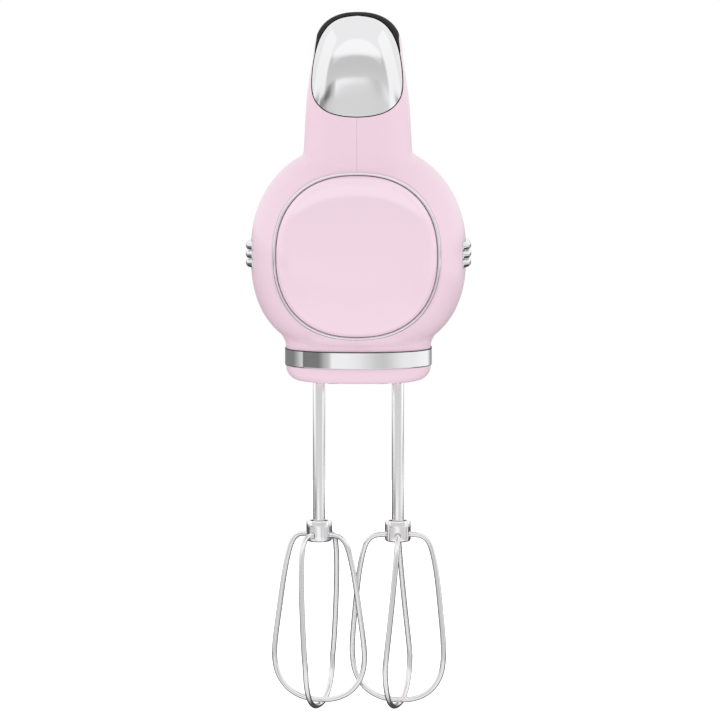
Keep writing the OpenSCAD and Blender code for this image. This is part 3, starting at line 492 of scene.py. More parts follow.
class Shader:
    """A node tree that is built one node at a time."""

    def __init__(self, tree: bpy.types.NodeTree) -> None:
        """Clears the tree."""
        self.tree = tree
        tree.nodes.clear()

    def node(self, kind: str, settings: dict, values: dict, output: int | str = 0) -> Wire:
        """Adds a node.

        Args:
            kind: the node's type.
            settings: its own properties, set first.
            values: socket index or name to a number, colour or Wire.
            output: index or name of the output to return.

        Returns:
            That output.
        """
        made = self.tree.nodes.new(kind)
        for key, value in settings.items():
            setattr(made, key, value)
        for key, value in values.items():
            if isinstance(value, Wire):
                self.tree.links.new(value.socket, made.inputs[key])
            else:
                made.inputs[key].default_value = value
        return Wire(self, made.outputs[output] if len(made.outputs) else None)

    def place(self, source: str = "Object") -> Wire:
        """Object coordinates, or the world's direction."""
        return self.node("ShaderNodeTexCoord", {}, {}, source)

    def noise(self, scale: float, detail: float = 2.0, stretch: Point = (1, 1, 1)) -> Wire:
        """A noise value on object coordinates, with a scale per metre."""
        spot = self.node("ShaderNodeMapping", {}, {"Vector": self.place(), "Scale": tuple(stretch)})
        return self.node("ShaderNodeTexNoise", {}, {"Vector": spot, "Scale": scale, "Detail": detail})

    def axis(self, name: str, source: str = "Object") -> Wire:
        """One object coordinate in metres, or one part of the world's direction."""
        return self.node("ShaderNodeSeparateXYZ", {}, {0: self.place(source)}, name)

    def ray(self, kind: str) -> Wire:
        """1 for this kind of ray, 0 for others."""
        return self.node("ShaderNodeLightPath", {}, {}, kind)

    def mix(self, share: Wire, low: Point, high: Point) -> Wire:
        """A colour between two."""
        ends = {0: share, 6: (*low, 1.0), 7: (*high, 1.0)}
        return self.node("ShaderNodeMix", {"data_type": "RGBA"}, ends, 2)


# Roughness of every clear coat
COAT_ROUGH = 0.03


@dataclass(frozen=True)
class Finish:
    """A surface finish: colour and gloss that vary a little, and a fine bump.

    Attributes:
        name: the material's name.
        colour: linear colour.
        rough: roughness.
        metal: metallic share.
        coat: clear coat weight.
        drift: share by which the colour drifts.
        rough_drift: how far the roughness drifts.
        specular: strength of the plain reflection.
        lacquer: index of refraction of the coat.
        grain: grain cells per metre.
        relief: bump distance in metres.
        stretch: grain stretch on each axis.
    """

    name: str
    colour: tuple[float, float, float]
    rough: float
    metal: float = 0.0
    coat: float = 0.0
    drift: float = 0.03
    rough_drift: float = 0.04
    specular: float = 0.5
    lacquer: float = 1.5
    grain: float = 900.0
    relief: float = 0.00001
    stretch: tuple[float, float, float] = (1.0, 1.0, 1.0)

    def make(self) -> bpy.types.Material:
        """Builds the material, once.

        Returns:
            The material.
        """
        label = f"finish_{self.name}"
        if label in bpy.data.materials:
            return bpy.data.materials[label]
        material = bpy.data.materials.new(label)
        material.use_nodes = True
        material.diffuse_color = (*self.colour, 1.0)
        shader = Shader(material.node_tree)
        surface = self.surface(shader)
        shader.node("ShaderNodeOutputMaterial", {}, {"Surface": surface})
        return material

    def tint(self, shader: Shader) -> Wire:
        """Base colour: a slow drift between a darker and a lighter tone."""
        low = tuple(c * (1 - self.drift) for c in self.colour)
        high = tuple(min(1.0, c * (1 + self.drift)) for c in self.colour)
        return shader.mix(shader.noise(35.0, 3.0), low, high)

    def gloss(self, shader: Shader) -> Wire:
        """Roughness: its own value with a slow drift."""
        return (shader.noise(60.0, 4.0) - 0.5) * (2 * self.rough_drift) + self.rough

    def clear(self, shader: Shader) -> "Wire | float":
        """Weight of the clear coat."""
        return self.coat

    def surface(self, shader: Shader) -> Wire:
        """The whole surface shader.

        Args:
            shader: the material's node tree.

        Returns:
            The surface's output.
        """
        grain = shader.noise(self.grain, 2.0, self.stretch)
        bump = shader.node("ShaderNodeBump", {}, {"Strength": 0.5, "Distance": self.relief, "Height": grain})
        return shader.node(
            "ShaderNodeBsdfPrincipled",
            {},
            {
                "Base Color": self.tint(shader),
                "Roughness": self.gloss(shader).clamp(),
                "Metallic": self.metal,
                "Specular IOR Level": self.specular,
                "Coat Weight": self.clear(shader),
                "Coat Roughness": COAT_ROUGH,
                "Coat IOR": self.lacquer,
                "Normal": bump,
            },
        )


@dataclass(frozen=True)
class DomeFinish(Finish):
    """The cap's pink, whose lacquer is full at the brow and thin below it, and whose colour is painted a
    touch darker where the lacquer is thin: painted shade.

    Attributes:
        brow: height above which the lacquer is full, in metres.
        cheek: height below which it is thin, in metres.
        thin: coat weight where it is thin.
        bare: linear colour where it is thin, a touch darker than the full colour: painted shade.
    """

    brow: float = -0.062
    cheek: float = -0.070
    thin: float = 0.25
    bare: tuple[float, float, float] = (0.875, 0.655, 0.765)

    def fullness(self, shader: Shader) -> Wire:
        """Share of the full lacquer at this height."""
        return shader.axis("Z").ramp(self.cheek, self.brow)

    def tint(self, shader: Shader) -> Wire:
        """Base colour, painted a touch darker where the lacquer is thin to make up for the thin lacquer:
        painted shade.
        """
        return shader.mix(self.fullness(shader), self.bare, self.colour)

    def clear(self, shader: Shader) -> Wire:
        """Weight of the clear coat at this height."""
        return self.fullness(shader) * (self.coat - self.thin) + self.thin


PINK = Finish(
    "pink_plastic",
    (0.865, 0.645, 0.745),
    0.28,
    coat=0.05,
    specular=0.2,
    drift=0.006,
    rough_drift=0.01,
    relief=0.000001,
    grain=700.0,
)
DOME = DomeFinish(
    "pink_dome", (0.885, 0.655, 0.765), 0.2, coat=1.0, lacquer=2.2, drift=0.012, relief=0.000002, grain=700.0
)
CHROME = Finish(
    "plated_trim", (0.80, 0.80, 0.81), 0.10, metal=1.0, drift=0.01, rough_drift=0.02, relief=0.000001
)
# One plated steel in two tones: the shafts' copy is painted lighter, a painted highlight, and the wires' copy
# darker, a painted shade
BRIGHT_ROD_STEEL = Finish(
    "plated_steel", (0.90, 0.90, 0.91), 0.15, metal=1.0, drift=0.02, relief=0.000002, stretch=(1, 1, 0.1)
)
DARK_WIRE_STEEL = Finish("plated_wire", (0.80, 0.80, 0.81), 0.17, metal=1.0, drift=0.02, relief=0.000002)
BLACK = Finish("black_gloss", (0.012, 0.012, 0.013), 0.5, specular=0.01, relief=0.000002)
# Black for painted shade on recess walls, in the collar's open top and along the band's top edge; also the
# keys' signs
DARK_SHADE_AND_SIGNS = Finish("black_recess", (0.02, 0.019, 0.02), 0.6, relief=0.00001)
NYLON = Finish("natural_nylon", (0.80, 0.77, 0.68), 0.5)
STEEL = Finish("turned_steel", (0.55, 0.56, 0.58), 0.3, metal=1.0, stretch=(1, 1, 0.1))
RUBBER = Finish("black_rubber", (0.022, 0.022, 0.024), 0.72, grain=2500.0, relief=0.00004)
BOARD = Finish("board_laminate", (0.03, 0.17, 0.08), 0.45)
CAST = Finish("cast_metal", (0.55, 0.56, 0.57), 0.48, metal=1.0, grain=3000.0, relief=0.00004)
BRONZE = Finish("bearing_bronze", (0.45, 0.27, 0.10), 0.4, metal=1.0)
COPPER = Finish("copper_wire", (0.62, 0.26, 0.12), 0.35, metal=1.0, grain=2500.0, relief=0.00005)
IRON = Finish("stacked_iron", (0.20, 0.205, 0.21), 0.5, metal=1.0, stretch=(0.02, 1, 0.02), relief=0.00003)
CARBON = Finish("pressed_carbon", (0.03, 0.03, 0.03), 0.65)

SLOT_FINISH = {
    "pink_plastic": PINK,
    "chrome_trim": CHROME,
    "chrome_wire": BRIGHT_ROD_STEEL,
    "black_plastic": BLACK,
    "nylon": NYLON,
    "steel": STEEL,
    "black_rubber": RUBBER,
    "circuit_board": BOARD,
    "cast_aluminium": CAST,
    "bronze": BRONZE,
    "copper": COPPER,
    "core_iron": IRON,
    "carbon": CARBON,
}


@dataclass
class Assembly:
    """A group of pieces that are built and dressed together.

    Attributes:
        made: the finished objects.
    """

    made: list = field(default_factory=list)

    def add(self, name: str, form: Form, node: str, *finishes: Finish) -> bpy.types.Object:
        """Puts a finished form into the scene, on its CAD node's body.

        Args:
            name: the piece's name.
            form: its shape, which is used up.
            node: the CAD node that it stands for.
            finishes: a finish for each material slot.

        Returns:
            The object.
        """
        mesh = form.mesh(name)
        for finish in finishes:
            mesh.materials.append(finish.make())
        piece = bpy.data.objects.new(name, mesh)
        bpy.context.scene.collection.objects.link(piece)
        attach(piece, BODY_OF[node])
        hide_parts(node)
        self.made.append(piece)
        LOG.info("%s: %d faces", name, len(mesh.polygons))
        return piece


# ---- Shared shapes of the mixer ----


@dataclass
class Shape:
    """The mixer's main forms, which its housings, trim and panels share.

    Attributes:
        half: half width of the body at its largest section.
        up: height of the body above its axis.
        down: depth of the body below its axis.
        axis: height of the body's axis.
        front: y of the front rim.
        back: y of the heel face.
        top: height of the handle's top.
        bar: height of the finger opening's top.
        grip: half width of the grip.
        neck: half width of the neck at the body.
        foot: half width of the foot.
        foot_front: reach of the foot ahead of the spindles.
        foot_back: reach of the foot behind the spindles.
        wall: wall thickness.
        widest: y of the body's largest section.
        reach_front: distance from there to where the body would close in front.
        reach_back: distance from there to where it would close behind.
        taper: fullness of the body along its length.
        full_up: fullness of its section above the axis.
        full_down: fullness of its section below the axis.
        rim_r: half width and half height of the front opening.
        rim_full: fullness of the front opening.
        inlet: y of the cord inlet.
    """

    half: float = 42.5
    up: float = 43.4
    down: float = 40.5
    axis: float = 50.1
    front: float = -38.0
    back: float = 168.0
    top: float = 144.0
    bar: float = 116.0
    grip: float = 17.0
    neck: float = 21.2
    foot: float = 28.5
    foot_front: float = 27.6
    foot_back: float = 60.0
    wall: float = 2.2
    widest: float = 5.0
    reach_front: float = 62.4
    reach_back: float = 185.0
    taper: float = 2.2
    full_up: float = 2.2
    full_down: float = 2.5
    rim_r: float = 31.0
    rim_full: float = 2.3
    inlet: float = 138.0

    def share(self, y: float) -> float:
        """Share of the largest section that the body has at depth y."""
        u = (self.widest - y) / self.reach_front if y < self.widest else (y - self.widest) / self.reach_back
        return (1 - min(u, 0.999) ** self.taper) ** (1 / self.taper)

    def body_x(self, y: float, z: float) -> float:
        """Half width of the body at depth y and height z.

        Args:
            y: depth.
            z: height.

        Returns:
            The half width.
        """
        f = self.share(y)
        h, n = (self.up, self.full_up) if z >= self.axis else (self.down, self.full_down)
        return self.half * f * (1 - (abs(z - self.axis) / (h * f)) ** n) ** (1 / n)

    def body(self, g: float, front: float, back: float, count: int, rows: int) -> Form:
        """The round body, grown by g, between two depths, with closer rows in front.

        Args:
            g: how far the form is grown.
            front: y of the front end.
            back: y of the back end.
            count: points in a section.
            rows: number of rows less one.

        Returns:
            The solid.
        """
        rings = []
        for t in (k / rows for k in range(rows + 1)):
            y = front + (back - front) * (0.45 * t * t + 0.55 * t)
            f = self.share(y)
            sizes = (self.half * f + g, self.up * f + g, self.down * f + g)
            ring = section(*sizes, self.full_up, self.full_down, count)
            rings.append([(x, y, self.axis + z) for x, z in ring])
        return Form().loft(rings)

    def loop(self, g: float, count: int, steps: int) -> Form:
        """The neck, the grip and the rear arm, grown by g.

        Args:
            g: how far the form is grown.
            count: points in a section.
            steps: steps between two stations.

        Returns:
            The solid.
        """
        gh, nh, top, bar = self.grip, self.neck, self.top, self.bar
        # y and z of the outer edge, y and z of the inner edge, half width, fullness
        stations = [
            (-34, 69.9, 14, 71.9, nh + 0.6, 2.5),
            (-36.9, 82.9, 18, 85.9, nh + 0.3, 2.6),
            (-36.2, 91.9, 18, 94.9, nh - 0.3, 2.7),
            (-36.2, 101.9, 17.5, 103.9, gh + 3.4, 2.8),
            (-37, 111.9, 18, 109.4, gh + 2.8, 2.9),
            (-37.4, 121.2, 20, bar - 3.5, gh + 1.9, 2.9),
            (-36.2, 129.8, 22, bar - 1.2, gh + 0.9, 2.7),
            (-32, top - 6, 25, bar - 0.3, gh + 0.4, 2.4),
            (-24, top - 1.6, 29, bar, gh + 0.2, 2.3),
            (-8, top, 36, bar, gh, 2.3),
            (30, top - 0.3, 50, bar - 0.2, gh - 0.4, 2.3),
            (68, top - 2.6, 74, bar - 1, gh - 0.8, 2.3),
            (100, top - 7.5, 96, bar - 3, gh - 1.2, 2.3),
            (128, top - 16, 113, bar - 8, gh - 1.4, 2.3),
            (149, top - 30, 122, bar - 17, gh - 1.4, 2.3),
            (161, top - 48, 127, bar - 29, gh - 1, 2.3),
            (164.5, top - 75, 130.5, bar - 56, gh, 2.3),
        ]
        rings = []
        for y0, z0, y1, z1, half, full in smooth(stations, steps, steps // 2):
            mid = Vector((0, (y0 + y1) / 2, (z0 + z1) / 2))
            out = Vector((0, (y0 - y1) / 2, (z0 - z1) / 2))
            out *= 1 + g / out.length
            ring = section(half + g, 1, 1, full, full, count)
            rings.append([(x, mid.y + out.y * t, mid.z + out.z * t) for x, t in ring])
        return Form().loft(rings)

    def plan(self, g: float, count: int = RING) -> list[tuple]:
        """Plan of the foot, grown by g."""
        return section(self.foot + g, self.foot_back + g, self.foot_front + g, 2.5, 2.25, count)

    def foot_prism(self, g: float, z0: float, z1: float, count: int = RING) -> Form:
        """A straight solid on the foot's plan."""
        return Form().prism(self.plan(g, count), lambda a, b, d: (a, b, d), z0, z1)

    def rim(self, g: float) -> list[tuple]:
        """Outline of the front opening, grown by g."""
        r = self.rim_r + g
        return section(r, r, r, self.rim_full, self.rim_full, RING)

    def opening(self, g: float, y0: float, y1: float) -> Form:
        """A straight solid through the front opening, grown by g."""
        return Form().prism(self.rim(g), lambda a, b, d: (a, d, self.axis + b), y0, y1)

    def nose(self, g: float, y1: float) -> Form:
        """A straight solid on the lever plate's front outline, grown by g, back to y1.

        Args:
            g: how far the form is grown.
            y1: y of the back end.

        Returns:
            The solid.
        """
        half = [
            (0, 103.3), (5, 103.6), (10, 104.8), (13.6, 106.9), (16.3, 110.3), (17.3, 114.9), (17, 121.6),
            (16.1, 127.3), (14.9, 131.5), (13.1, 135.3), (10.1, 138.8), (5.8, 141), (0, 141.8),
        ]  # fmt: skip
        right = smooth(half, 6, 3)
        ring = right + [[-x, z] for x, z in right[-2:0:-1]]
        grown = []
        for k, (x, z) in enumerate(ring):
            (xa, za), (xb, zb) = ring[k - 1], ring[(k + 1) % len(ring)]
            run = Vector((xb - xa, zb - za)).normalized()
            grown.append((x + g * run.y, z - g * run.x))
        ahead = -52
        return Form().prism(grown, lambda a, b, d: (a, d, b), ahead, y1)

    def crown(self, g: float) -> Form:
        """Everything above the black panel's lower edge, grown by g.

        Args:
            g: how far the form is grown.

        Returns:
            The solid.
        """
        low, end, top = 121.5, 56, self.top
        edge = [(-44, low), (-24, 126.4), (-17, 133), (-9, top - 8.6), (4, top - 7), (end, top - 6.4)]
        line = [(y + g, z - g) for y, z in smooth(edge, 8, 3)]
        line += [(end + g, top + 8), (-60, top + 8), (-60, low - g)]
        return Form().prism(line, lambda a, b, d: (d, a, b), -30, 30)


# x and y of the keys
KEY_PLACES = {"slower": (0.0, 6.5), "faster": (0.0, 19.0), "turbo": (0.0, 32.0), "power": (0.0, 45.0)}
# y and z of the shell screws
SCREW_PLACES = ((11.5, 89.9), (118.0, 115.6), (150.0, 50.2), (118.0, 24.9))
# Height of the band's top, where the shells start
BAND_TOP = 12.7


@dataclass
class Housing(Assembly):
    """The two pink shells with their recesses, vents and screw wells.

    Attributes:
        shape: the mixer's forms.
        seam: width of the line between the shells.
        soft_radius: reach of the blend where neck and arm meet the body.
        soft_foot: share of it where the foot meets the body.
        foot_z: height below which a join is the foot's.
        vents: y of the slots.
        vent_r: half width of a slot.
        vent_z: heights of the middles of a slot's round ends.
    """

    shape: Shape = field(default_factory=Shape)
    seam: float = 0.05
    soft_radius: float = 5.0
    soft_foot: float = 0.22
    foot_z: float = 40.0
    vents: tuple[float, ...] = (92, 98, 104, 110)
    vent_r: float = 1.1
    vent_z: Pair = (60.2, 72.2)

    def outside(self) -> Form:
        """Body, loop and foot in one skin with blended joins.

        Returns:
            The skin.
        """
        s = self.shape
        body = s.body(0, s.front, s.back, 176, 120).carve(Cut.REMOVE, self.below(BAND_TOP))
        form = body.carve(Cut.JOIN, s.loop(0, 128, 8), s.foot_prism(0, BAND_TOP, 30))
        self.soften(form)
        return form

    def below(self, z: float) -> Form:
        """Everything under height z."""
        return Form().box((-60, -60, -10), (60, 200, z))

    def soften(self, form: Form) -> None:
        """Rounds the hollow joins between the forms, but not the edges that trim covers.

        Args:
            form: the joined skin.
        """
        bm, s = form.bm, self.shape
        bmesh.ops.dissolve_degenerate(bm, dist=0.02, edges=bm.edges[:])
        bmesh.ops.triangulate(bm, faces=[f for f in bm.faces if len(f.verts) > 4 and abs(f.normal.z) < 0.99])
        paired = [e for e in bm.edges if len(e.link_faces) == 2 and e.verts[0].co.z > BAND_TOP + 0.8]
        hollow = -0.2
        creases = [e for e in paired if e.calc_face_angle_signed(0) < hollow]
        spots = {v for e in creases for v in e.verts if v.co.y > s.front + 0.8}
        tree = KDTree(len(spots))
        for k, v in enumerate(spots):
            tree.insert(v.co, k)
        tree.balance()
        for share, rounds in ((1.0, 5), (0.75, 6), (0.5, 7), (0.3, 6)):
            reach = self.soft_radius * share
            near = [
                v
                for v in bm.verts
                if s.front + 0.6 < v.co.y < s.back - 4.5
                and v.co.z > BAND_TOP + 0.5
                and tree.find(v.co)[2] < reach * (self.soft_foot if v.co.z < self.foot_z else 1)
            ]
            for _ in range(rounds):
                bmesh.ops.smooth_vert(
                    bm, verts=near, factor=0.5, use_axis_x=True, use_axis_y=True, use_axis_z=True
                )
        LOG.info("housing joins: %d crease edges", len(creases))

    def hollows(self) -> list[Form]:
        """The spaces inside the shells.

        Returns:
            The solids to remove.
        """
        s = self.shape
        body = s.body(-s.wall, s.front + s.wall, s.back - s.wall, 64, 40)
        return [
            body.carve(Cut.REMOVE, self.below(BAND_TOP + s.wall)),
            s.loop(-s.wall, 40, 3),
            s.foot_prism(-s.wall, BAND_TOP - 1, 27, 64),
        ]

    def recesses(self) -> list[Form]:
        """Cuts for the front opening, lever plate, panel, keys, vents, inlet and screws.

        Returns:
            The solids to remove. Those whose walls are painted black, as painted shade in the recesses, are
            on the recess slot.
        """
        s = self.shape
        panel = s.crown(0.3).carve(Cut.REMOVE, s.loop(-1.15, 96, 6))
        # The lever plate's pocket, the panel's cut and the key wells get walls painted black: painted shade
        cuts = [
            s.opening(0, s.front - 1, s.front + 6.2),
            s.nose(0.4, -12).paint(Skin.RECESS),
            panel.paint(Skin.RECESS),
            Form().rod(8.5, (0, s.inlet, 10), (0, s.inlet, 19.4)),
            Form().rod(6.5, (0, s.inlet, 10), (0, s.inlet, 38)),
        ]
        for x, y in KEY_PLACES.values():
            cuts.append(Form().rod(4.7, (x, y, s.top - 7.3), (x, y, s.top + 6)).paint(Skin.RECESS))
        cuts += [self.vent(y, side.value) for y in self.vents for side in Side]
        # Round wells over the shell screws, on the left
        return cuts + [Form().rod(3.0, (-45, y, z), (-8, y, z)) for y, z in SCREW_PLACES]

    def vent(self, y: float, sign: int) -> Form:
        """One round-ended slot through a shell's wall.

        Args:
            y: y of its middle.
            sign: sign of the flank's x.

        Returns:
            The solid to remove.
        """
        r, (low, high) = self.vent_r, self.vent_z
        ring = [
            (r * math.cos(a) + y, r * math.sin(a) + (high if a < math.pi else low))
            for a in angles(2 * math.pi, 24)
        ]
        return Form().prism(ring, lambda a, b, d: (d, a, b), sign * 24, sign * 60)

    def bosses(self) -> list[Form]:
        """Posts under the shell screws, in the handle or in the body.

        Returns:
            The solids to join.
        """
        s = self.shape
        out = []
        for y, z in SCREW_PLACES:
            keep = s.loop(-0.5, 48, 3) if z > 60 else s.body(-0.5, s.front, s.back - 1, 64, 40)
            out.append(Form().rod(3.6, (-40, y, z), (40, y, z)).carve(Cut.KEEP, keep))
        return out

    def build(self) -> None:
        """Builds both shells."""
        shell = self.outside().carve(Cut.REMOVE, *self.hollows()).carve(Cut.JOIN, *self.bosses())
        whole = shell.carve(Cut.REMOVE, *self.recesses()).raw()
        for side in Side:
            low, high = sorted((side.value * self.seam / 2, side.value * 60.0))
            half = Form.of(whole.copy()).carve(Cut.KEEP, Form().box((low, -60, -5), (high, 200, 160)))
            name = f"housing_{side.word}"
            # The second finish paints the recess walls black: painted shade
            self.add(f"{name}_shell", half, name, PINK, DARK_SHADE_AND_SIGNS)
        bpy.data.meshes.remove(whole)


@dataclass
class Front(Assembly):
    """The domed front cap, its bright ring and the flank trims.

    Attributes:
        shape: the mixer's forms.
        half_w: half width of the cap.
        half_h: half height of the cap.
        rim: y of the cap's edge.
        crown: how far the dome stands ahead of its edge.
        rib_z: heights of the ribs' middles.
        rib_ends: y of the ribs' ends.
        rib_half: half height of a rib.
        rib_proud: how far a rib stands out of the flank.
    """

    shape: Shape = field(default_factory=Shape)
    half_w: float = 30.78
    half_h: float = 30.78
    rim: float = -37.6
    crown: float = 7.4
    rib_z: tuple[float, ...] = (46.3, 49.7, 53.1)
    rib_ends: Pair = (-16.0, 34.0)
    rib_half: float = 1.5
    rib_proud: float = 2.0

    def cap(self) -> None:
        """Builds the domed cap."""
        ring = section(1, 1, 1, self.shape.rim_full, self.shape.rim_full, RING)
        shares = [math.sin(a) ** 0.9 for a in angles(math.pi / 2, 40)]
        rows = [(r, self.rim - self.crown * (1 - min(r, 1) ** 4) ** 0.38) for r in shares]
        rows += [(1, self.rim + 2), (1, self.rim + 7.4)]

        def point(i: int, j: int) -> Point:
            """A corner of the dome's grid."""
            r, y = rows[j]
            return ring[i][0] * self.half_w * r, y, self.shape.axis + ring[i][1] * self.half_h * r

        self.add("front_cap_dome", Form().sheet(RING, len(rows) - 1, point).close(), "front_cap", DOME)

    def ring(self) -> None:
        """Builds the bright half-round ring."""
        arc = [(0.45 - 0.65 * math.cos(a), math.sin(a)) for a in angles(math.pi, 10)]
        rows = [(g, self.shape.front - 0.999 * lift) for g, lift in arc]
        rings = [self.shape.rim(g) for g, _ in rows]

        def point(i: int, j: int) -> Point:
            """A corner of the ring's grid."""
            x, z = rings[j][i]
            return x, rows[j][1], self.shape.axis + z

        form = Form().sheet(RING, len(rows), point, (True, True))
        self.add("front_ring_bead", form.outward(), "front_ring", CHROME)

    def trim(self, side: Side) -> None:
        """Builds the three ribs on one flank, with their backing plate.

        Args:
            side: the flank.
        """
        s = self.shape
        form = Form()
        front, back = self.rib_ends
        profile = [(math.cos(a), math.sin(a)) for a in angles(math.pi, 10)]

        def rise(y: float) -> float:
            """How far a rib stands out at depth y, less towards its ends."""
            return self.rib_proud * min(1.0, 0.3 + min(y - front, back - y) / 6)

        for z in self.rib_z:

            def point(i: int, j: int, middle: float = z) -> Point:
                """A corner of a rib's grid."""
                y = front + (back - front) * j / 40
                t, lift = profile[i]
                h = middle + t * self.rib_half
                out = s.body_x(y, h) + (rise(y) * lift**0.5 if lift > 0.01 else 0.06)
                return side.value * out, y, h

            form.sheet(11, 40, point, (True, False)).close()
        plate = Form()

        def flat(i: int, j: int) -> Point:
            """A corner of the backing plate's grid."""
            y, h = front + 2 + (back - front - 4) * j / 30, self.rib_z[0] - 0.7 + 8.2 * i / 4
            return side.value * (s.body_x(y, h) + 0.5), y, h

        plate.sheet(4, 30, flat, (False, False))
        bmesh.ops.solidify(plate.bm, geom=plate.bm.faces[:], thickness=0.42)
        name = f"side_trim_{side.word}"
        self.add(f"{name}_ribs", form.take(plate.outward()), name, CHROME)

    def build(self) -> None:
        """Builds every piece."""
        self.cap()
        self.ring()
        for side in Side:
            self.trim(side)


@dataclass
class Controls(Assembly):
    """The lever plate, black panel and keys.

    Attributes:
        shape: the mixer's forms.
        key_r: radius of a key.
        key_top: height of a key's top.
    """

    shape: Shape = field(default_factory=Shape)
    key_r: float = 4.5
    key_top: float = 144.2

    def plate(self) -> None:
        """Builds the bright lever plate in the handle's nose."""
        s = self.shape
        skin = s.loop(0, 176, 10).carve(Cut.REMOVE, s.loop(-1.8, 96, 6))
        block = Form().box((-30, -50, 95), (30, -20, 150))
        form = skin.carve(Cut.KEEP, s.nose(0, -15), block)
        self.add("lever_plate_face", form, "lever_plate", CHROME)

    def panel(self) -> None:
        """Builds the black panel over the handle's nose and top."""
        s = self.shape
        skin = s.loop(0, 144, 8).carve(Cut.REMOVE, s.loop(-1.1, 96, 6)).carve(Cut.KEEP, s.crown(0))
        holes = [Form().rod(4.65, (x, y, 100), (x, y, 150)) for x, y in KEY_PLACES.values()]
        form = skin.carve(Cut.REMOVE, s.nose(0.4, -12), *holes)
        self.add("control_panel_skin", form, "control_panel", BLACK)

    def key(self, name: str, x: float, y: float) -> None:
        """Builds one dished key, with its sign where it has one.

        Args:
            name: the key's name.
            x: x of its axis.
            y: y of its axis.
        """
        r, top = self.key_r, self.key_top
        dish = [(r * 0.9 * k / 8, top - 0.6 * (1 - (k / 8) ** 2)) for k in range(9)]
        edge = [(r - 0.22, top), (r - 0.06, top - 0.06), (r, top - 0.22)]
        flange = [(r, top - 7.5), (r + 0.7, top - 7.5), (r + 0.7, top - 8.7), (0, top - 8.7)]
        form = Form().lathe(dish + edge + flange, (x, y, 0))
        long, thin = 1.6, 0.32
        bars = {"slower": [(long, thin)], "faster": [(long, thin), (thin, long)]}.get(name, [])
        signs = Form()
        for a, b in bars:
            signs.box((x - a, y - b, top - 0.75), (x + a, y + b, top - 0.48))
        form.take(signs.paint(Skin.RECESS))
        self.add(f"{name}_key_cap", form, f"{name}_key", CHROME, DARK_SHADE_AND_SIGNS)

    def build(self) -> None:
        """Builds every piece."""
        self.plate()
        self.panel()
        for name, (x, y) in KEY_PLACES.items():
            self.key(name, x, y)


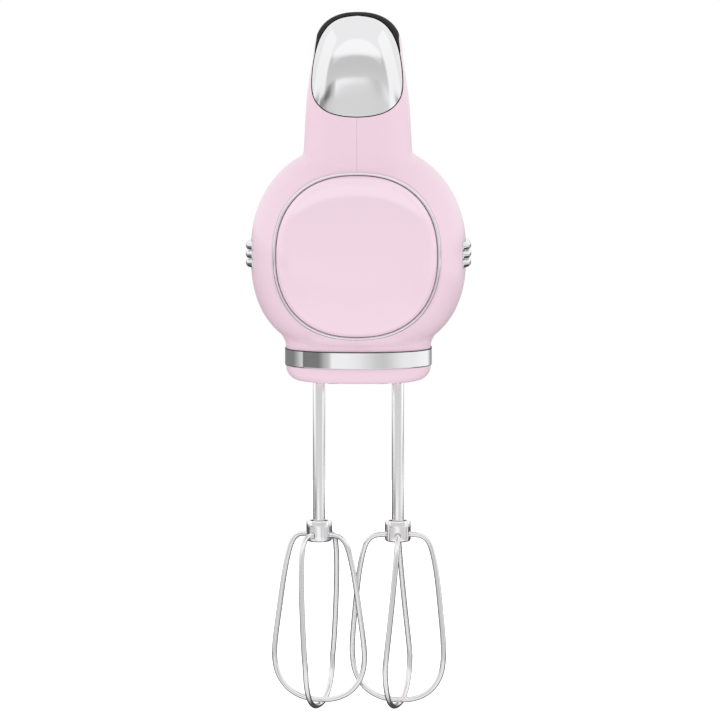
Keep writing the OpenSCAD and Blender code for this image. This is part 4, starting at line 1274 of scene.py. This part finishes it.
@dataclass
class Base(Assembly):
    """The bright band, the rounded base cover, the socket rings and the rear fittings.

    Attributes:
        shape: the mixer's forms.
        round: radius of the cover's lower edge.
        band_low: lower edge of the band.
        band_high: upper edge of the band.
        proud: how far the band stands out of the foot.
        spindle_x: distance of a spindle from the middle.
        holes: x and y of the base screws' holes.
        pad_z: heights of the heel pads.
    """

    shape: Shape = field(default_factory=Shape)
    round: float = 5.5
    band_low: float = 6.0
    band_high: float = BAND_TOP
    proud: float = 0.45
    spindle_x: float = 15.6
    holes: tuple[Pair, ...] = ((-9, -19.5), (9, -19.5), (-12, 46), (12, 46))
    pad_z: Pair = (37.9, 62.9)

    def ringed(self, rows: Sequence[tuple[float, float, float]], closed: bool) -> Form:
        """A form whose rows follow the foot's plan.

        Args:
            rows: (scale, growth, height) of each row.
            closed: whether the rows close on themselves.

        Returns:
            The form.
        """
        plans = [self.shape.plan(g) for _, g, _ in rows]
        count = len(rows)

        def point(i: int, j: int) -> Point:
            """A corner of the grid."""
            k = j % count
            x, y = plans[k][i]
            return x * rows[k][0], y * rows[k][0], rows[k][2]

        return Form().sheet(RING, count if closed else count - 1, point, (True, closed)).outward()

    def band(self) -> None:
        """Builds the bright band, whose upper edge is painted black: a painted shadow of the gap under the
        housing.
        """
        low, high, out, inner, edge = self.band_low + 0.05, self.band_high, self.proud, -0.95, 0.18
        third = edge * 0.3
        rows = [
            (1, inner, low), (1, out - edge, low), (1, out - third, low + third), (1, out, low + edge),
            (1, out, low + 2 * edge), (1, out, high - 2 * edge), (1, out, high - edge),
            (1, out - third, high - third), (1, out - edge, high), (1, inner, high),
        ]  # fmt: skip
        form = self.ringed(rows, True)
        # The top strip of the band is painted black: painted shadow along its upper edge
        for face in form.bm.faces:
            face.material_index = int(face.calc_center_median().z > high - 2 * edge)
        self.add("chrome_band_hoop", form, "chrome_band", CHROME, DARK_SHADE_AND_SIGNS)

    def cover(self) -> None:
        """Builds the rounded cover with its sockets and screw holes."""
        r = self.round
        arc = [(1, -r * (1 - math.sin(a)), r * (1 - math.cos(a))) for a in angles(math.pi / 2, 12)]
        low, high = self.band_low, self.band_high - 0.05
        lip, inside, floor = -1.25, -2.85, 2.4
        rows = [(0, 0, 0), (0.35, -r, 0), (0.7, -r, 0), (0.93, -r, 0), *arc]
        rows += [(1, 0, low - 0.1), (1, -0.1, low), (1, lip, low), (1, lip, high)]
        rows += [(1, inside, high), (1, inside, floor), (0, 0, floor)]
        tools = [Form().rod(5.2, (sx, 0, -2), (sx, 0, 5)) for sx in (-self.spindle_x, self.spindle_x)]
        tools += [Form().rod(3.0, (x, y, -2), (x, y, 1)) for x, y in self.holes]
        form = self.ringed(rows, False).carve(Cut.REMOVE, *tools)
        self.add("base_cover_tray", form, "base_cover", PINK)

    def sockets(self) -> None:
        """Builds the two rings round the whisk sockets."""
        form = Form()
        profile = [(4.4, -0.7), (4.7, -1), (4.95, -0.98), (5.12, -0.8), (5.15, -0.6), (5.15, 2.4)]
        profile += [(6.5, 2.4), (6.5, 3.4), (4.4, 3.4)]
        for sx in (-self.spindle_x, self.spindle_x):
            form.lathe(profile, (sx, 0, 0))
        self.add("socket_ring_pair", form, "socket_rings", CHROME)

    def fittings(self) -> None:
        """Builds the heel pads and the cord inlet."""
        pads = Form()
        turn = Matrix.Rotation(-math.pi / 2, 4, "X")
        for z in self.pad_z:
            pad = Form().lathe([(0, 2), (6, 2), (6.7, 1.8), (7, 1.3), (7, 0), (1.9, 0), (1.9, -4), (0, -4)])
            pads.take(pad.place(Matrix.Translation((0, self.shape.back, z)) @ turn))
        self.add("heel_pad_pair", pads, "heel_pads", RUBBER)
        flange = [(3.5, 18), (4.1, 17.4), (7.9, 17.4), (8.4, 17.9), (8.4, 19.4)]
        sleeve = [(6.4, 19.4), (6.4, 31.4), (3.5, 31.4)]
        gland = Form().lathe(flange + sleeve, (0, self.shape.inlet, 0))
        self.add("cord_inlet_gland", gland, "cord_inlet", RUBBER)

    def build(self) -> None:
        """Builds every piece."""
        self.band()
        self.cover()
        self.sockets()
        self.fittings()


@dataclass
class Whisk(Assembly):
    """One whisk: shaft, collar and two crossed wire loops.

    Attributes:
        side: the side that it is on.
        spindle_x: distance of its axis from the middle.
        shaft_r: radius of the shaft.
        drop: depth of the collar's top below the base.
        collar_r: radius of the collar.
        collar_h: height of the collar.
        floor_h: height of the floor in the collar's open top.
        crimp: depth of the creases between the wires.
        crimp_w: half width of a crease, in degrees.
        exit_h: depth below the collar's top at which the wires leave it.
        wire_r: radius of the wire.
        tall: height of the upper loop.
        twist: how far a loop turns on its way down, in degrees.
    """

    side: Side = Side.RIGHT
    spindle_x: float = 15.6
    shaft_r: float = 2.4
    drop: float = 56.1
    collar_r: float = 5.15
    collar_h: float = 8.4
    floor_h: float = 1.4
    crimp: float = 0.32
    crimp_w: float = 2.2
    exit_h: float = 5.7
    wire_r: float = 1.05
    tall: float = 66.25
    twist: float = -15.0

    @property
    def start(self) -> float:
        """Angle of the first loop, in degrees."""
        return 0.0 if self.side is Side.RIGHT else -30.0

    @property
    def exit_z(self) -> float:
        """Height at which the wires leave the collar."""
        return -self.drop - self.exit_h

    def hang(self, part: str, kind: str, form: Form, *finishes: Finish) -> None:
        """Moves a part to the whisk's axis and adds it.

        Args:
            part: the part's name, as its CAD node has it.
            kind: the last word of the piece's name.
            form: its shape, built on the axis.
            finishes: a finish for each material slot.
        """
        node = f"whisk_{self.side.word}_{part}"
        form.place(Matrix.Translation((self.side.value * self.spindle_x, 0, 0)))
        self.add(f"{node}_{kind}", form, node, *finishes)

    def shaft(self) -> None:
        """Builds the shaft with its two drive wings."""
        r, low, top = self.shaft_r, -self.drop - self.collar_h + self.floor_h, 30.0
        profile = [(0, low), (r, low), (r, top - 1.2), (r - 0.35, top - 0.4), (r - 1.2, top), (0, top)]
        wings = Form().box((-3.6, -0.65, 5), (3.6, 0.65, 10))
        edges = wings.bm.edges[:]
        bmesh.ops.bevel(
            wings.bm, geom=edges, offset=0.25, segments=2, profile=0.5, affect="EDGES", material=-1
        )
        wings.place(Matrix.Rotation(math.radians(45 + self.start), 4, "Z"))
        self.hang("shaft", "body", Form().lathe(profile, steps=48).take(wings), BRIGHT_ROD_STEEL)

    def collar(self) -> None:
        """Builds the crimped collar with its open top, whose inside is painted black as painted shade, and
        its four wire holes.
        """
        r, low, high = self.collar_r, -self.drop - self.collar_h, -self.drop
        floor = low + self.floor_h
        profile = [
            (0, low), (r - 1.2, low), (r - 0.75, low + 0.12), (r - 0.36, low + 0.36), (r - 0.1, low + 0.75),
            (r, low + 1.2), (r, low + 2.4), (r, low + 4), (r, low + 6), (r, high - 0.3),
            (r - 0.12, high - 0.07), (r - 0.35, high), (r - 1.2, high), (r - 1.5, high - 0.2),
            (r - 1.7, high - 0.6), (r - 1.7, floor), (0, floor),
        ]  # fmt: skip
        form = Form().lathe(profile, steps=180)
        for v in form.bm.verts:
            radius = math.hypot(v.co.x, v.co.y)
            if radius > r - 0.5 and low + 0.3 < v.co.z < high - 0.02:
                turn = (math.degrees(math.atan2(v.co.y, v.co.x)) - self.start - 45) % 90
                depth = self.crimp * math.exp(-((min(turn, 90 - turn) / self.crimp_w) ** 2))
                v.co.xy *= (radius - depth) / radius
        tools = []
        for k in range(4):
            a = math.radians(90 * k + self.start)
            way = Vector((math.cos(a), math.sin(a), 0))
            lift = Vector((0, 0, self.exit_z))
            tools.append(Form().rod(self.wire_r + 0.12, way * 2.6 + lift, way * 8 + lift, 32))
        form = form.carve(Cut.REMOVE, *tools)
        # The well inside the open top is painted black: painted shade
        for face in form.bm.faces:
            spot = face.calc_center_median()
            face.material_index = int(math.hypot(spot.x, spot.y) < r - 1.45 and spot.z > floor - 0.1)
        self.hang("collar", "body", form, BRIGHT_ROD_STEEL, DARK_SHADE_AND_SIGNS)

    def loop(self, part: str, quarter: float) -> None:
        """Builds one closed balloon loop.

        Args:
            part: the loop's name.
            quarter: its angle from the first loop.
        """
        outline = [
            (3.5, 0), (6.4, 0), (9.6, 0.5), (12.2, 2.8), (13.9, 7.6), (15.6, 16.6), (17.2, 30.3),
            (18.5, 42.5), (18.7, 50), (17.3, 56.8), (13.2, 62.6), (7, 65.9), (0, 66.7),
        ]  # fmt: skip
        # The second loop passes under the first
        extra = 2 * self.wire_r + 0.05 if quarter > 0 else 0.0
        stretch = (self.tall + extra) / outline[-1][1]
        whole = smooth(outline + [(-r, z) for r, z in outline[-2::-1]], 8, 5)
        down = []
        for radius, depth in whole[: len(whole) // 2 + 1]:
            turn = self.twist * self.side.value * min(1.0, depth / 50)
            a = math.radians(self.start + quarter + turn)
            down.append((radius * math.cos(a), radius * math.sin(a), self.exit_z - depth * stretch))
        down[-1] = (0.0, 0.0, down[-1][2])
        path = down + [(-x, -y, z) for x, y, z in down[-2::-1]]
        # The wires take the darker copy of the plating: painted shade
        self.hang(part, "wire", Form().tube(path, self.wire_r, 16), DARK_WIRE_STEEL)

    def build(self) -> None:
        """Builds every piece."""
        self.shaft()
        self.collar()
        first, second = ("loop_b", "loop_a") if self.side is Side.RIGHT else ("loop_a", "loop_b")
        self.loop(first, 0.0)
        self.loop(second, 90.0)


@dataclass
class Inside:
    """The pieces that keep their CAD shape."""

    def build(self) -> None:
        """Gives each node the finish of its slot."""
        for name, node in frame["nodes"].items():
            node.data.materials.clear()
            node.data.materials.append(SLOT_FINISH[SLOT_OF[name]].make())


@dataclass
class Studio:
    """Floor, world, lamps and camera.

    Attributes:
        floor_z: height of the floor in metres.
        distance: camera distance from the spindle plane in metres.
        height: camera height in metres.
        pitch: downward tilt in degrees.
        turn: how far the camera stands round to the right, in degrees.
        pivot: x and y of the point that it stands round, in metres.
        lens: focal length in millimetres.
    """

    floor_z: float = -0.32
    distance: float = 1.186
    height: float = -0.031
    pitch: float = 4.45
    turn: float = 1.03
    pivot: Pair = (0.0006, -0.06)
    lens: float = 150.6

    def floor(self) -> None:
        """A pale floor that is white to the camera and still takes shadows."""
        mesh = bpy.data.meshes.new("floor")
        bm = bmesh.new()
        low = Matrix.Translation((0, 0, self.floor_z))
        bmesh.ops.create_grid(bm, x_segments=1, y_segments=1, size=1.2, matrix=low)
        bm.to_mesh(mesh)
        bm.free()
        material = bpy.data.materials.new("floor_white")
        material.use_nodes = True
        shader = Shader(material.node_tree)
        seen, mirrored = shader.ray("Is Camera Ray"), shader.ray("Is Glossy Ray")
        # In reflections it is dark from under the mixer to the back, and greyer out to the sides
        across = shader.axis("X")
        sides = (across * across).ramp(0.03, 0.12) * 0.35
        dark = (shader.axis("Y").ramp(-0.1, -0.04) + sides).clamp() * mirrored
        colour = shader.mix(dark, (0.9, 0.9, 0.9), (0.08, 0.08, 0.08))
        plain = shader.node("ShaderNodeBsdfDiffuse", {}, {"Color": colour})
        # Its own light, most of it to the camera and none where it is dark
        light = seen * 0.3 + (1 - mirrored) * 0.18 + (mirrored - dark) * 0.1
        glow = shader.node("ShaderNodeEmission", {}, {"Color": WHITE, "Strength": light})
        both = shader.node("ShaderNodeAddShader", {}, {0: plain, 1: glow})
        shader.node("ShaderNodeOutputMaterial", {}, {"Surface": both})
        mesh.materials.append(material)
        floor = bpy.data.objects.new("floor", mesh)
        bpy.context.scene.collection.objects.link(floor)

    def world(self) -> None:
        """A surround that is white to the camera, with grey and dark cards in the plated pieces."""
        world = bpy.data.worlds.new("studio")
        world.use_nodes = True
        bpy.context.scene.world = world
        shader = Shader(world.node_tree)
        seen, mirrored = shader.ray("Is Camera Ray"), shader.ray("Is Glossy Ray")
        across, ahead, height = (shader.axis(name, "Generated") for name in "XYZ")
        # A grey card low in front of the mixer, and a dark one behind it below the horizon
        front = (1 - ahead.ramp(-0.45, -0.3)) * (1 - height.ramp(0.3, 0.42))
        card = front * (height.ramp(-0.5, 0.3) * 0.24 + 0.08)
        behind = ahead.ramp(-0.1, 0.3) * (1 - height.ramp(-0.03, 0.03))
        # A narrow strip just under the horizon, which upright faces mirror: the band's own tones
        level_view = height.ramp(-0.125, -0.1) * (1 - height.ramp(-0.06, -0.035))
        left = 1 - across.ramp(-0.05, 0.05)
        # A dark flag to the left front, a wing to the left back and a dip to the right front
        flag = ahead.ramp(-0.86, -0.8) * 0.5 + ahead.ramp(-0.82, -0.56) * 0.48
        flag = left * flag * (1 - ahead.ramp(-0.02, 0.03))
        wing = left * ahead.ramp(-0.02, 0.03) * (ahead.ramp(-0.05, 0.55) * 0.6 + 0.27)
        dip = across.ramp(-0.25, 0.48) * (1 - across.ramp(0.5, 0.95) * 0.75) * (1 - ahead.ramp(-0.1, 0.4))
        strip = level_view * (flag + wing + dip * 0.44 - front * 0.21 - 0.15)
        # The strip stands in for the dark card, except at the far back on the right
        behind = behind * (1 - level_view * (1 - (1 - left) * ahead.ramp(0.75, 0.95)))
        mirror_level = 0.97 - card - behind * 0.75 - strip
        plain_level = 0.88 + (across * across).ramp(0.3, 0.8) * 0.16
        level = height.ramp(0.0, 0.6) * 0.05 + plain_level * (1 - mirrored) + mirrored * mirror_level
        strength = seen + (1 - seen) * level
        sky = shader.node("ShaderNodeBackground", {}, {"Color": WHITE, "Strength": strength})
        shader.node("ShaderNodeOutputWorld", {}, {"Surface": sky})

    def lamp(self, name: str, place: Point, aim: Point, size: tuple[float, float], power: float) -> None:
        """Adds a soft rectangular lamp.

        Args:
            name: the lamp's name.
            place: its position in metres.
            aim: the point that it faces.
            size: its width and height.
            power: its power in watts.
        """
        data = bpy.data.lights.new(name, "AREA")
        data.shape = "RECTANGLE"
        data.size, data.size_y = size
        data.energy = power
        lamp = bpy.data.objects.new(name, data)
        lamp.location = place
        lamp.rotation_euler = (Vector(aim) - Vector(place)).to_track_quat("-Z", "Y").to_euler()
        bpy.context.scene.collection.objects.link(lamp)

    def camera(self) -> None:
        """The camera, in front and a little above the mixer's middle."""
        data = bpy.data.cameras.new("camera")
        data.lens = self.lens
        data.sensor_width = 36.0
        data.clip_end = 50.0
        camera = bpy.data.objects.new("camera", data)
        turn = math.radians(self.turn)
        x, y = self.pivot
        camera.location = (
            x + self.distance * math.sin(turn),
            y - self.distance * math.cos(turn),
            self.height,
        )
        camera.rotation_euler = (math.radians(90 - self.pitch), 0, turn)
        bpy.context.scene.collection.objects.link(camera)
        bpy.context.scene.camera = camera

    def build(self) -> None:
        """Builds the studio."""
        self.floor()
        self.world()
        self.lamp("top_box", (0, -0.86, 0.5), (0, -0.06, -0.02), (2.2, 0.45), 0.4)
        self.lamp("left_box", (-1.1, 0.1, 0.45), (0, 0.1, 0.45), (1.2, 1.2), 0.5)
        self.lamp("right_box", (1.1, 0.1, 0.45), (0, 0.1, 0.45), (1.2, 1.2), 0.55)
        self.camera()
        bpy.context.scene.view_settings.view_transform = "Standard"


def main() -> None:
    """Builds the mixer and its studio."""
    logging.basicConfig(level=logging.INFO, format="%(name)s %(message)s")
    Inside().build()
    shape = Shape()
    for part in (
        Housing(shape=shape),
        Front(shape=shape),
        Controls(shape=shape),
        Base(shape=shape),
        Whisk(side=Side.LEFT),
        Whisk(side=Side.RIGHT),
    ):
        part.build()
        LOG.info("%s: %d pieces", type(part).__name__, len(part.made))
    Studio().build()


if __name__ == "__main__":
    main()
